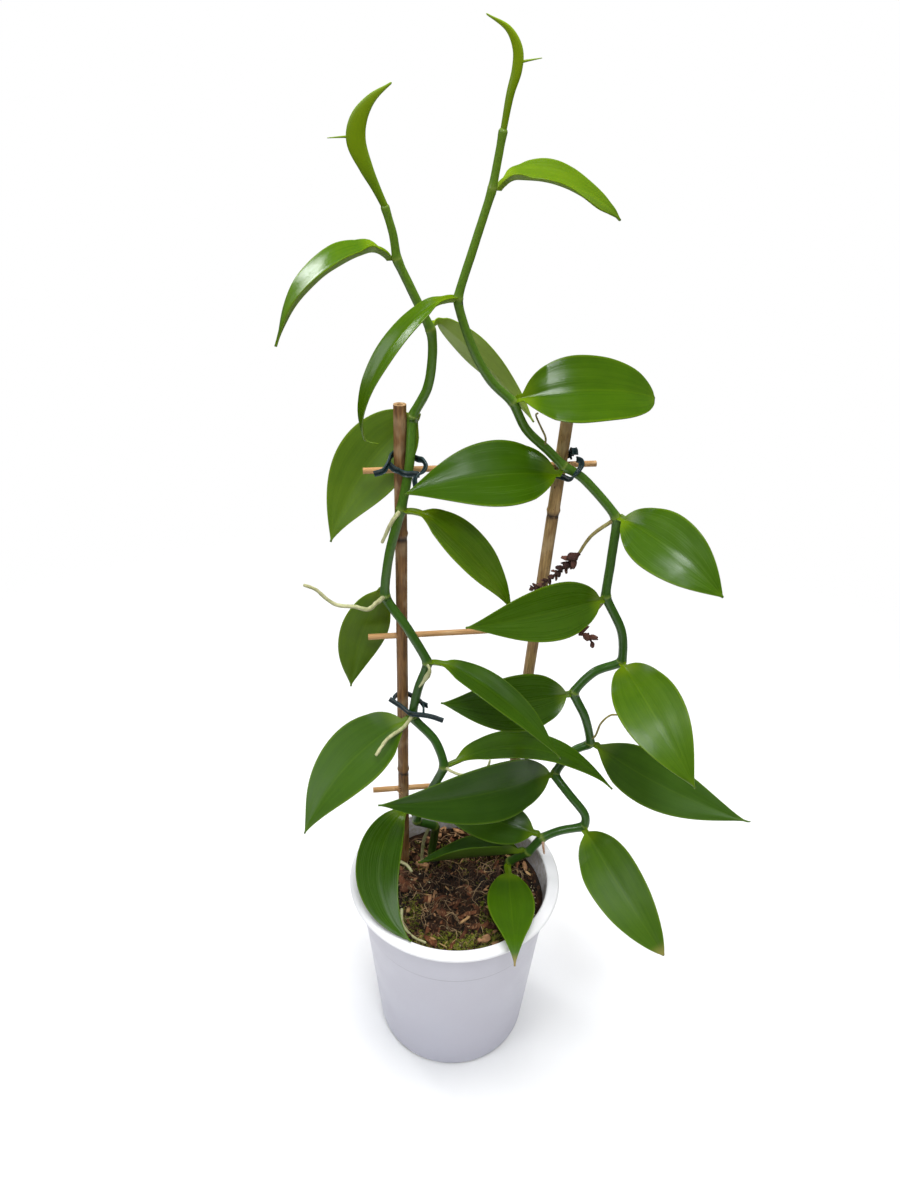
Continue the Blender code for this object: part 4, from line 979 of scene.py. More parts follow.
def in_metres(places):
    """Places in millimetres as vectors in metres, without what stands after their three numbers."""
    return [Vector(place[:3]) * MM for place in places]


def heading_at(route, i):
    """The direction of a route at one of its points."""
    return (route[min(i + 1, len(route) - 1)] - route[max(i - 1, 0)]).normalized()


def square_to(ahead, vector):
    """A vector without its part along ahead, at length one."""
    return (vector - ahead * vector.dot(ahead)).normalized()


def turning_frames(route, side=None):
    """The direction and two square vectors at each point of a route, turning as little as they can."""
    side = side or heading_at(route, 0).orthogonal()
    frames = []
    for i in range(len(route)):
        ahead = heading_at(route, i)
        side = square_to(ahead, side)
        frames.append((ahead, side, ahead.cross(side)))
    return frames


def spokes(side, up, sides):
    """Directions evenly round a circle, from side towards up."""
    turns = [math.tau * k / sides for k in range(sides)]
    return [side * math.cos(turn) + up * math.sin(turn) for turn in turns]


def level_ring(radius, height, sides):
    """A level ring of points about the upright axis."""
    turns = [math.tau * k / sides for k in range(sides)]
    return [Vector((radius * math.cos(turn), radius * math.sin(turn), height)) for turn in turns]


def round_rings(route, radii, sides, lumps=0.0, seed=0.0):
    """Rings round a route, closed by a small dome at each end. lumps makes them uneven."""
    frames = turning_frames(route)
    rings = []
    last = len(route) - 1
    for i, (place, radius) in enumerate(zip(route, radii)):
        ahead, side, up = frames[i]
        domes = [(0, 1.0)]
        if i == 0:
            domes = [(-0.75, 0.15), (-0.6, 0.6), (-0.25, 0.9), (0, 1.0)]
        if i == last:
            domes = [(0, 1.0), (0.25, 0.9), (0.6, 0.6), (0.75, 0.15)]
        for push, share in domes:
            ring = []
            for out in spokes(side, up, sides):
                uneven = 1 + lumps * noise.noise((place + out * radius) / (2.2 * MM) + Vector((seed, 0, 0)))
                ring.append(place + ahead * radius * push + out * radius * share * uneven)
            rings.append(ring)
    return rings


def drawn_in(ring, share, push):
    """A ring made smaller about its middle, and pushed on."""
    middle = sum(ring, Vector()) / len(ring)
    return [middle + (p - middle) * share + push for p in ring]


def doubled_ends(values):
    """Numbers for the rings that round_rings adds at each end."""
    return [values[0]] * 3 + list(values) + [values[-1]] * 3


# Pot

def filleted(profile, radius, steps):
    """A profile whose inner corners are rounded off, by up to a radius."""
    out = [profile[0]]
    for before, corner, after in zip(profile, profile[1:], profile[2:]):
        back, on = before - corner, after - corner
        reach = min(radius, back.length * 0.45, on.length * 0.45)
        start, end = corner + back.normalized() * reach, corner + on.normalized() * reach
        for i in range(steps + 1):
            t = i / steps
            out.append(start * (1 - t) ** 2 + corner * 2 * t * (1 - t) + end * t * t)
    out.append(profile[-1])
    return out


def pot_profile():
    inner_top = POT_TOP_RADIUS - POT_WALL
    inner_foot = POT_FOOT_RADIUS - POT_WALL
    ledge = POT_FOOT_RADIUS + (POT_TOP_RADIUS - POT_FOOT_RADIUS) * POT_LEDGE_HEIGHT / POT_HEIGHT
    lip_under = POT_HEIGHT - POT_LIP_DEPTH
    outside = [
        (0, 0), (POT_FOOT_RADIUS - 4 * MM, 0), (POT_FOOT_RADIUS - 1 * MM, 1 * MM), (POT_FOOT_RADIUS, 4 * MM),
        (ledge, POT_LEDGE_HEIGHT), (ledge + POT_LEDGE_STEP, POT_LEDGE_HEIGHT + 0.8 * MM),
        (POT_TOP_RADIUS, lip_under - 0.8 * MM), (POT_TOP_RADIUS + 1 * MM, lip_under),
        (POT_LIP_RADIUS - 0.5 * MM, lip_under), (POT_LIP_RADIUS, lip_under + 0.5 * MM),
        (POT_LIP_RADIUS, POT_HEIGHT - 0.8 * MM), (POT_LIP_RADIUS - 0.8 * MM, POT_HEIGHT),
    ]
    inside = [
        (inner_top + 0.8 * MM, POT_HEIGHT), (inner_top, POT_HEIGHT - 0.8 * MM),
        (inner_foot, POT_FLOOR + 3 * MM), (inner_foot - 3 * MM, POT_FLOOR), (0, POT_FLOOR),
    ]
    return filleted([Vector((r, 0, z)) for r, z in outside + inside], 1.2 * MM, 4)


def inner_radius(z):
    """The pot's inside radius at a height."""
    foot, top = POT_FOOT_RADIUS - POT_WALL, POT_TOP_RADIUS - POT_WALL
    low, high = POT_FLOOR + 3 * MM, POT_HEIGHT - 0.8 * MM
    return foot + (top - foot) * (z - low) / (high - low)


def pot():
    """The moulded shell, turned about its axis, with its drain holes."""
    profile = pot_profile()[1:-1]
    inside = [1.0 if p.x < inner_radius(p.z) + 0.4 * MM and p.z < POT_HEIGHT - 1 * MM else 0.0
              for p in profile]
    rings = [level_ring(p.x, p.z, POT_SIDES) for p in profile]
    mesh = tube_mesh("pot_shell", rings, {"inside": inside})
    mesh.set_sharp_from_angle(angle=SHARP_FROM)
    shell = piece(mesh, plastic_material())
    for i in range(DRAIN_HOLES):
        turn = math.tau * i / DRAIN_HOLES
        place = Vector((DRAIN_CIRCLE * math.cos(turn), DRAIN_CIRCLE * math.sin(turn), 0))
        rings = [[place + p for p in level_ring(DRAIN_RADIUS, z * MM, DRAIN_SIDES)] for z in (-4, 6)]
        cutter = bpy.data.objects.new(f"drain_{i}", tube_mesh(f"drain_{i}", rings))
        bpy.context.scene.collection.objects.link(cutter)
        step = shell.modifiers.new(cutter.name, "BOOLEAN")
        step.operation = "DIFFERENCE"
        step.object = cutter
    apply_modifiers(shell)
    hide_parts("pot")


def apply_modifiers(obj):
    """Keeps an object's evaluated mesh and removes its cutters."""
    cutters = [step.object for step in obj.modifiers if step.type == "BOOLEAN"]
    bpy.context.view_layer.update()
    done = bpy.data.meshes.new_from_object(obj.evaluated_get(bpy.context.evaluated_depsgraph_get()))
    obj.modifiers.clear()
    obj.data = done
    for cutter in cutters:
        bpy.data.objects.remove(cutter, do_unlink=True)


# Bark mix

def bark_height(x, y):
    """The lumpy top of the mix: rounded chips with sunken gaps between them."""
    place = Vector((x / BARK_CHIP, y / BARK_CHIP, 0.3))
    distances = noise.voronoi(place, distance_metric="DISTANCE")[0]
    gap = min(1.0, (distances[1] - distances[0]) * 2.2)
    chip = noise.cell(place * 0.9) * 0.5
    swell = noise.noise(Vector((x, y, 0)) / 0.028)
    return BARK_LEVEL + BARK_RELIEF * (0.55 * gap + 0.35 * chip + 0.45 * swell - 0.4)


def crumbs(x, y):
    """Fine roughness of the crumbled mix."""
    place = Vector((x, y, 0.01))
    coarse = noise.noise(place / (3.2 * MM))
    fine = noise.noise(place / (1.1 * MM))
    return (0.9 * coarse + 0.45 * fine) * MM


def bark_ground():
    """The surface of the mix, closed by a body that fills the pot."""
    edge_height = BARK_LEVEL - BARK_RELIEF * 0.3
    rim = inner_radius(edge_height) - 0.2 * MM
    rings, shades = [], []
    for i in range(BARK_RINGS + 1):
        r = rim * max(i, 0.02) / BARK_RINGS
        edge = max(0, (r / rim - 0.92) / 0.08)
        ring, shade = [], []
        for k in range(BARK_SECTORS):
            a = math.tau * k / BARK_SECTORS
            x, y = r * math.cos(a), r * math.sin(a)
            z = bark_height(x, y) + crumbs(x, y) * (1 - 0.6 * edge)
            z += (edge_height - z) * edge * 0.7
            ring.append(Vector((x, y, z)))
            shade.append(0.30 + 0.35 * noise.noise(Vector((x, y, 0)) / 0.012))
        rings.append(ring)
        shades.append(shade)
    deep = POT_FLOOR + 3 * MM
    for z, r in ((deep, inner_radius(deep) - 0.3 * MM),
                 (POT_FLOOR + 0.4 * MM, inner_radius(deep) - 3.2 * MM)):
        rings.append(level_ring(r, z, BARK_SECTORS))
        shades.append([0.2] * BARK_SECTORS)
    mesh = tube_mesh("bark_ground", rings)
    write_marks(mesh, "shade", [s for shade in shades for s in shade])
    ground = piece(mesh, bark_material(
        "bark_soil", from_srgb(12, 8, 5), from_srgb(58, 35, 19), from_srgb(126, 84, 48)))
    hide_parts("bark_mix")


class Scatter:
    """Many small closed lumps and strands gathered into one mesh, each with its own shade."""

    def __init__(self, name):
        self.name = name
        self.points, self.faces, self.shades = [], [], []

    def add(self, points, faces, shade):
        first = len(self.points)
        self.points += points
        self.faces += [tuple(first + i for i in face) for face in faces]
        self.shades += [shade] * len(points)

    def finish(self, made):
        mesh = mesh_from(self.name, self.points, self.faces)
        write_marks(mesh, "shade", self.shades)
        obj = piece(mesh, made)
        return obj


def lump(draw, size, levels=1, rough=0.25, rounded=0.35):
    """Points and faces of an angular lump with the given full sizes along its own axes."""
    bm = bmesh.new()
    for _ in range(LUMP_CORNERS):
        out = Vector((draw.gauss(0, 1), draw.gauss(0, 1), draw.gauss(0, 1))).normalized()
        bm.verts.new(Vector((out.x * size[0], out.y * size[1], out.z * size[2])) / 2)
    hull = bmesh.ops.convex_hull(bm, input=bm.verts)
    loose = [e for e in hull["geom_interior"] if isinstance(e, bmesh.types.BMVert)]
    bmesh.ops.delete(bm, geom=loose, context="VERTS")
    if levels:
        bmesh.ops.subdivide_edges(bm, edges=bm.edges, cuts=levels, use_grid_fill=True, smooth=rounded)
    seed = draw.random() * 50
    small = min(size)
    for vert in bm.verts:
        dent = noise.noise(vert.co / (size[0] * 0.3) + Vector((seed, 0, 0)))
        vert.co += vert.co.normalized() * dent * small * rough
    bm.verts.index_update()
    points = [v.co.copy() for v in bm.verts]
    faces = [tuple(v.index for v in f.verts) for f in bm.faces]
    bm.free()
    return points, faces


def strand(route, radii, sides=4):
    """Points and faces of a thin closed strand."""
    points = []
    for (_, side, up), place, radius in zip(turning_frames(route), route, radii):
        points += [place + out * radius for out in spokes(side, up, sides)]
    return points, tube_faces(len(route), sides)


def in_pot(draw, reach):
    """A place on the mix, evenly spread within a share of its radius."""
    r = inner_radius(BARK_LEVEL) * reach * math.sqrt(draw.random())
    a = draw.random() * math.tau
    return r * math.cos(a), r * math.sin(a)


def moved(points, turn, place):
    """Points turned about the origin and then carried to a place."""
    return [turn @ p + place for p in points]


def shredded_bark():
    """Chips and slivers, which share one run of random numbers."""
    draw = random.Random(11)
    bark_chips(draw)
    bark_slivers(draw)


def bark_chips(draw):
    """Shreds of bark lying on the mix, lighter in the middle."""
    chips = Scatter("bark_chips")
    for _ in range(CHIPS):
        x, y = in_pot(draw, 0.93)
        length = 2.4 * MM + 9.5 * MM * draw.random() ** 2.2
        size = (length, length * draw.uniform(0.22, 0.62), length * draw.uniform(0.10, 0.30))
        points, faces = lump(draw, size, rough=0.55, rounded=0.08)
        turn = (Quaternion((0, 0, 1), draw.random() * math.tau)
                @ Quaternion((1, 0, 0), draw.gauss(0, 0.50)) @ Quaternion((0, 1, 0), draw.gauss(0, 0.38)))
        place = Vector((x, y, bark_height(x, y) + size[2] * 0.3))
        middle = max(0, 1 - math.hypot(x - 1 * MM, y + 14 * MM) / (20 * MM))
        shade = min(1, max(0, draw.random() ** 2.3 + 0.30 * middle))
        chips.add(moved(points, turn, place), faces, shade)
    chips.finish(bark_material(
        "bark_chip", from_srgb(18, 11, 7), from_srgb(116, 68, 42), from_srgb(206, 156, 112)))


def bark_slivers(draw):
    """Tan slivers: a few long ones at chosen places in millimetres, and fine ones anywhere."""
    slivers = Scatter("bark_slivers")
    for x, y, length, heading, tilt in ((34.0, 26.0, 13.0, -42, 6), (44.0, 14.0, 6.0, -60, 10),
                                        (6.0, -22.0, 8.0, 38, 12), (-12.0, -36.0, 5.0, -20, 4),
                                        (-26.0, -16.0, 5.0, 70, 8), (20.0, -12.0, 6.0, 15, 14)):
        points, faces = lump(draw, (length * MM, 2.2 * MM, 0.9 * MM), rough=0.15)
        turn = Quaternion((0, 0, 1), math.radians(heading)) @ Quaternion((0, 1, 0), math.radians(-tilt))
        place = Vector((x * MM, y * MM, bark_height(x * MM, y * MM) + 1.5 * MM))
        slivers.add(moved(points, turn, place), faces, draw.uniform(0.2, 1.0))
    for _ in range(FINE_SLIVERS):
        x, y = in_pot(draw, 0.92)
        length = draw.uniform(1.8, 6.5) * MM
        points, faces = lump(draw, (length, length * draw.uniform(0.10, 0.28), 0.5 * MM), levels=0, rough=0.1)
        turn = (Quaternion((0, 0, 1), draw.random() * math.tau)
                @ Quaternion((0, 1, 0), draw.gauss(0, 0.35)))
        place = Vector((x, y, bark_height(x, y) + draw.uniform(0.8, 1.9) * MM))
        slivers.add(moved(points, turn, place), faces, draw.random())
    slivers.finish(shaded_material(
        "sliver_wood", from_srgb(150, 110, 70), from_srgb(205, 168, 118), 0.75))


def coir():
    """Fibres that curl over the mix."""
    draw = random.Random(23)
    fibres = Scatter("coir_fibres")
    for _ in range(COIR_FIBRES):
        x, y = in_pot(draw, 0.93)
        heading = draw.random() * math.tau
        step = draw.uniform(0.9, 2.2) * MM
        bend = draw.gauss(0, 0.28)
        lift = draw.uniform(0.1, 1.1) * MM
        route = []
        for i in range(draw.randint(6, 11)):
            if math.hypot(x, y) > inner_radius(BARK_LEVEL) * 0.955:
                break
            arch = math.sin(i * 0.9 + lift * 5000) * 0.5 * MM
            route.append(Vector((x, y, bark_height(x, y) + 0.5 * MM + lift + arch)))
            heading += bend + draw.gauss(0, 0.25)
            x += step * math.cos(heading)
            y += step * math.sin(heading)
        if len(route) < 4:
            continue
        thick = draw.uniform(0.09, 0.24) * MM
        radii = [thick * (1 - 0.6 * abs(2 * i / (len(route) - 1) - 1) ** 3) for i in range(len(route))]
        points, faces = strand(route, radii)
        fibres.add(points, faces, draw.random() ** 2.4)
    fibres.finish(shaded_material("coir", from_srgb(58, 34, 20), from_srgb(214, 182, 138), 0.8))


def moss_weight(x, y):
    """How much moss grows at a place: most along the front and on the right, a little elsewhere."""
    x, y = x / MM, y / MM
    front = max(0, 1 - ((y + 40) / 12) ** 2) * max(0, 1 - ((x - 2) / 34) ** 2)
    right = max(0, 1 - ((x - 23) / 9) ** 2) * max(0, 1 - ((y + 20) / 20) ** 2)
    left = 0.6 * max(0, 1 - ((x + 25) / 8) ** 2) * max(0, 1 - ((y + 18) / 14) ** 2)
    back = 0.08 * max(0, 1 - ((y - 25) / 14) ** 2)
    return min(1, front + right + left + back)


def moss():
    """Tufts of tiny pointed leaves where the mix stays damp."""
    draw = random.Random(37)
    tufts = Scatter("moss")
    placed = 0
    while placed < MOSS_TUFTS:
        x, y = in_pot(draw, 0.95)
        if draw.random() > moss_weight(x, y) + 0.005:
            continue
        placed += 1
        foot = Vector((x, y, bark_height(x, y) + draw.uniform(-0.2, 0.6) * MM))
        shade = draw.random()
        for _ in range(draw.randint(4, 7)):
            lean = Vector((draw.gauss(0, 1), draw.gauss(0, 1), draw.uniform(0.5, 1.6))).normalized()
            reach = draw.uniform(0.8, 2.0) * MM
            side = lean.orthogonal().normalized() * 0.17 * MM
            deep = lean.cross(side).normalized() * 0.06 * MM
            middle = foot + lean * reach * 0.5 + Vector((0, 0, 0.15 * MM))
            tip = foot + lean * reach + Vector((draw.gauss(0, 0.2), draw.gauss(0, 0.2), -0.1)) * MM
            points = [foot - side * 0.5, foot + side * 0.5, foot + deep]
            points += [middle - side, middle + side, middle + deep, tip]
            faces = [(0, 1, 4, 3), (1, 2, 5, 4), (2, 0, 3, 5), (3, 4, 6), (4, 5, 6), (5, 3, 6), (2, 1, 0)]
            tufts.add(points, faces, min(1, max(0, shade + draw.gauss(0, 0.12))))
    made = shaded_material("moss", from_srgb(60, 74, 16), from_srgb(178, 184, 70), 0.8, 900.0, 0.1)
    tufts.finish(made)


def pale_bits():
    """Pale grit: pumice and dry shell-like scraps, most on the right."""
    draw = random.Random(51)
    grit = Scatter("pale_grit")
    for i in range(GRIT_SCRAPS):
        x, y = in_pot(draw, 0.92)
        if i < GRIT_ON_RIGHT:
            x, y = (46 + draw.gauss(0, 3)) * MM, (-4 + draw.gauss(0, 9)) * MM
        if math.hypot(x, y) > inner_radius(BARK_LEVEL) * 0.94:
            continue
        size = draw.uniform(0.6, 1.7) * MM
        points, faces = lump(draw, (size, size * 0.8, size * 0.6), levels=0, rough=0.1)
        place = Vector((x, y, bark_height(x, y) + size * 0.35 + 0.4 * MM))
        grit.add(moved(points, Quaternion((0, 0, 1), draw.random() * 6), place), faces, draw.random())
    grit.finish(shaded_material("grit", from_srgb(150, 136, 96), from_srgb(214, 206, 170), 0.7))


# Bamboo ladder

def cane_axes():
    """Each cane's lowest and highest point. The right one leans out, so the ladder widens upwards."""
    left_foot = LEFT_CANE_PLACE + Vector((0, 0, CANE_FOOT))
    left_top = LEFT_CANE_PLACE + Vector((0, 0, CANE_TOP))
    right_place = LEFT_CANE_PLACE + LADDER_ALONG * CANE_SPACING
    rise = CANE_TOP - CANE_FOOT
    lean = math.tan(CANE_LEAN)
    right_foot = right_place + Vector((0, 0, CANE_FOOT)) + LADDER_ALONG * (CANE_FOOT - BARK_LEVEL) * lean
    right_top = right_foot + Vector((0, 0, rise)) + LADDER_ALONG * rise * lean
    return {"cane_left": (left_foot, left_top), "cane_right": (right_foot, right_top)}


def at_height(foot, top, height):
    """The place on a cane's axis at a height."""
    return foot.lerp(top, (height - foot.z) / (top.z - foot.z))


def cane(name, foot, top, made, pith):
    """A bamboo cane, ringed at each joint, with its cut top open to the pith."""
    length = (top - foot).length
    ahead = (top - foot).normalized()
    side = ahead.orthogonal().normalized()
    up = ahead.cross(side)
    joints = [height - CANE_FOOT for height in CANE_JOINT_HEIGHTS[name]]
    heights = [length * i / CANE_STEPS for i in range(CANE_STEPS + 1)]
    for at in joints:
        heights += [at + offset * MM for offset in (-4, -2.6, -1.8, -1.2, -0.6, 0, 0.5, 1.0, 1.6, 2.4, 3.6)]
    heights.sort()
    rings, scars = [], []
    for z in heights:
        share, scar = 1.0, 0.0
        for at in joints:
            off = (z - at) / MM
            share += 0.13 * math.exp(-((off - 0.6) / 1.1) ** 2) - 0.05 * math.exp(-((off + 2.2) / 0.7) ** 2)
            scar = max(scar, math.exp(-((off + 2.0) / 1.5) ** 2))
        ring = []
        for out in spokes(side, up, CANE_SIDES):
            uneven = 0.05 * noise.noise(foot / 0.01 + out * 0.8 + Vector((0, 0, z / 0.03)))
            ring.append(foot + ahead * z + out * CANE_RADIUS * (share + uneven))
        rings.append(ring)
        scars.append(scar)
    cut_from = (len(rings) - 1) * CANE_SIDES
    for share, drop in ((0.93, 0.0), (0.60, 0.1), (0.50, 0.5), (0.46, 3.0), (0.05, 3.2)):
        middle = top - ahead * drop * MM
        rings.append([middle + out * CANE_RADIUS * share for out in spokes(side, up, CANE_SIDES)])
        scars.append(0.0)
    mesh = tube_mesh(f"{name}_skin", rings, {"ring": scars})
    slots = [1 if cut_from <= i < len(mesh.polygons) - 2 else 0 for i in range(len(mesh.polygons))]
    slots[-1] = 1
    mesh.polygons.foreach_set("material_index", slots)
    mesh.set_sharp_from_angle(angle=SHARP_FROM)
    obj = piece(mesh, made, pith)
    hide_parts(name)


def rung(name, start, end, made):
    """A split rung: a slightly flattened bar."""
    route = [start.lerp(end, i / RUNG_STEPS) for i in range(RUNG_STEPS + 1)]
    frames = turning_frames(route, Vector((0, 0, 1)))
    rings = []
    for place, (_, side, up) in zip(route, frames):
        ring = []
        for k in range(RUNG_SIDES):
            turn = math.tau * k / RUNG_SIDES
            out = side * math.cos(turn) + up * math.sin(turn)
            flat = 1 - 0.10 * abs(math.cos(turn)) ** 4
            uneven = 0.05 * noise.noise(place / 0.006 + out * 1.4)
            ring.append(place + out * RUNG_RADIUS * (flat + uneven))
        rings.append(ring)
    mesh = tube_mesh(f"{name}_bar", rings)
    mesh.set_sharp_from_angle(angle=SHARP_FROM)
    obj = piece(mesh, made)
    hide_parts(name)


def splinters(axes, made):
    """Frayed slivers where the lowest rung passes the left cane."""
    draw = random.Random(5)
    at = at_height(*axes["cane_left"], RUNG_HEIGHTS["rung_lower"])
    frays = Scatter("rung_splinters")
    for _ in range(SPLINTERS):
        places = [at]
        for across, depth, rise in (((-5.2, -2.8), (-2.6, -1.2), (-1.4, 1.6)),
                                    ((0.5, 2.4), (-2.0, -0.6), (-0.6, 1.8)),
                                    ((1.0, 2.6), (0.2, 1.4), (-2.0, 0.4))):
            step = Vector((draw.uniform(*across), draw.uniform(*depth), draw.uniform(*rise)))
            places.append(places[-1] + step * MM)
        route = smooth_route(places[1:], 4)
        radii = [0.30 * MM * (1 - 0.6 * i / (len(route) - 1)) for i in range(len(route))]
        points, faces = strand(route, radii)
        frays.add(points, faces, draw.random())
    frays.finish(made)


def ladder():
    """A reddish cane, a greyer one and three paler rungs."""
    axes = cane_axes()
    pith = pith_material()
    red = cane_material("cane_red", from_srgb(166, 120, 70), from_srgb(108, 74, 42), 0.35)
    grey = cane_material("cane_grey", from_srgb(200, 164, 108), from_srgb(142, 108, 66), 0.9)
    pale = cane_material("rung_wood", from_srgb(226, 180, 124), from_srgb(188, 136, 84), 0.1)
    cane("cane_left", *axes["cane_left"], red, pith)
    cane("cane_right", *axes["cane_right"], grey, pith)
    for name, height in RUNG_HEIGHTS.items():
        left, right = (at_height(foot, top, height) for foot, top in axes.values())
        rung(name, left - LADDER_ALONG * RUNG_OVERHANG, right + LADDER_ALONG * RUNG_OVERHANG, pale)
    splinters(axes, shaded_material("splinter", from_srgb(186, 134, 84), from_srgb(226, 186, 134), 0.7))


# Vines

def stem_radius(share):
    return STEM_BASE_RADIUS + (STEM_TIP_RADIUS - STEM_BASE_RADIUS) * share ** STEM_TAPER


def vine(name, points, made):
    """A vine that bends and swells at its joints, each ringed by the scar of its leaf's sheath. Its
    centre line is given back for what grows from it."""
    places = [Vector(p) for _, p in points]
    pull = [BEND_AT_JOINT if joint else 1.0 for joint, _ in points]
    route = smooth_route(places, STEPS_PER_SPAN, pull)
    lengths = [0.0]
    for a, b in zip(route, route[1:]):
        lengths.append(lengths[-1] + (b - a).length)
    joints = [lengths[i * STEPS_PER_SPAN] for i, (joint, _) in enumerate(points) if joint]
    around = (-1.0, -0.4, 0.3, 0.6, 0.9, 1.3)
    heights = sorted(lengths + [at + offset * MM for at in joints for offset in around])
    heights = [h for h in heights if 0 <= h <= lengths[-1]]
    finer, radii, ages, scars = [], [], [], []
    k = 0
    for h in heights:
        while k < len(lengths) - 2 and lengths[k + 1] < h:
            k += 1
        t = (h - lengths[k]) / (lengths[k + 1] - lengths[k])
        if finer and (route[k].lerp(route[k + 1], t) - finer[-1]).length < 0.05 * MM:
            continue
        finer.append(route[k].lerp(route[k + 1], t))
        span = (k + t) / STEPS_PER_SPAN
        radius = stem_radius(span / (len(points) - 1))
        swell, scar = 1.0, 0.0
        for at in joints:
            off = h - at
            swell += JOINT_SWELL * math.exp(-(off / JOINT_REACH) ** 2)
            swell += 0.05 * math.exp(-((off - 0.6 * MM) / (0.35 * MM)) ** 2)
            scar = max(scar, math.exp(-((off - 0.8 * MM) / (0.8 * MM)) ** 2))
        radii.append(radius * swell)
        ages.append(min(1, max(0, (finer[-1].z - 0.12) / 0.36)))
        scars.append(scar)
    rings = round_rings(finer, radii, STEM_SIDES, 0.03)
    marks = {"age": doubled_ends(ages), "ring": doubled_ends(scars)}
    obj = piece(tube_mesh(f"{name}_stem", rings, marks), made)
    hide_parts(name)
    return finer


# Leaves

def leaf_half_width(s, width, taper):
    """Half the blade's width at share s of its length: a rounded base and a drawn-out tip."""
    if s <= FULLEST:
        share = (1 - (1 - s / FULLEST) ** 2) ** 0.62
    else:
        run = min(1, (s - FULLEST) / (1 - FULLEST))
        share = (1 - run) ** taper * (1 + taper * run)
    return max(width / 2 * share, 0.35 * MM)


def leaf_frames(start, frame, row, stations):
    """Midrib points with the direction, the sideways and the upward vector at each. The leaf bends
    about its own width: over its neck, along its blade, and once more in a hook at its tip."""
    length = row["length"] * MM
    swing, twist = math.radians(row.get("swing", 0)), math.radians(row.get("twist", 0))
    neck, droop, hook = (math.radians(row.get(key, 0)) for key in ("neck", "droop", "hook"))
    ahead, side, up = frame
    place = start.copy()
    frames = [(place.copy(), ahead.copy(), side.copy(), up.copy())]
    small = 4
    for a, b in zip(stations, stations[1:]):
        step = (b - a) / small
        for k in range(small):
            t = a + (k + 0.5) * step
            bend = neck / NECK_SHARE if t < NECK_SHARE else droop / (1 - NECK_SHARE)
            if t > 1 - HOOK_SHARE:
                bend += hook / HOOK_SHARE
            down = Quaternion(side, -bend * step)
            change = Quaternion(up, swing * step) @ down @ Quaternion(ahead, twist * step)
            place += ahead * (length * step / 2)
            ahead, side, up = change @ ahead, change @ side, change @ up
            place += ahead * (length * step / 2)
        frames.append((place.copy(), ahead.copy(), side.copy(), up.copy()))
    return frames


def leaf_frame(row):
    """A leaf's direction, sideways and upward vector where it starts."""
    heading, climb, roll = (math.radians(row[key]) for key in ("heading", "climb", "roll"))
    level = Vector((math.cos(heading), math.sin(heading), 0))
    ahead = level * math.cos(climb) + Vector((0, 0, math.sin(climb)))
    up = Vector((0, 0, math.cos(climb))) - level * math.sin(climb)
    turn = Quaternion(ahead, roll)
    return ahead, turn @ ahead.cross(up), turn @ up


def blade_section(row, t, bare, across, frame):
    """The middle line of a leaf's section at share t of its length, and its half thickness, for each
    place across it from -1 to 1."""
    place, _, side, up = frame
    s = max(0, (t - bare) / (1 - bare))
    stalk = STALK_WIDTH / 2 * (1 - 0.15 * min(1, t / bare))
    half = leaf_half_width(s, row["width"] * MM, row.get("taper", 1.3))
    if s < FULLEST:
        half = max(half, stalk)
    middle_half = (LEAF_THICK - 0.5 * MM * t) / 2
    opening = math.radians(row["fold"]) + STALK_FOLD * max(0, 1 - t / 0.2)
    section = []
    for u in across:
        lift = half * abs(u) ** 1.3 * math.sin(opening)
        middle = place - side * half * u * math.cos(opening) + up * lift
        depth = LEAF_EDGE / 2 + (middle_half - LEAF_EDGE / 2) * (1 - u * u)
        section.append((middle, depth))
    return s, half, section


def box_middle(points):
    low = [min(p[i] for p in points) for i in range(3)]
    high = [max(p[i] for p in points) for i in range(3)]
    return Vector([(a + b) / 2 for a, b in zip(low, high)])


def seat_shift(name, row, joint, frame):
    """How far the solid leaf stands off its joint, read from its box."""
    bare = row["stalk"] / row["length"]
    stations = [0, bare, bare + 0.025 * (1 - bare)]
    stations += [bare + (1 - bare) * (i + 1) / PLAIN_STEPS for i in range(PLAIN_STEPS)]
    points = []
    for t, at in zip(stations, leaf_frames(joint, frame, row, stations)):
        for middle, depth in blade_section(row, t, bare, PLAIN_ACROSS, at)[2]:
            points += [middle + at[3] * depth, middle - at[3] * depth]
    low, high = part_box(name)
    return (Vector(low) + Vector(high)) / 2 - box_middle(points)


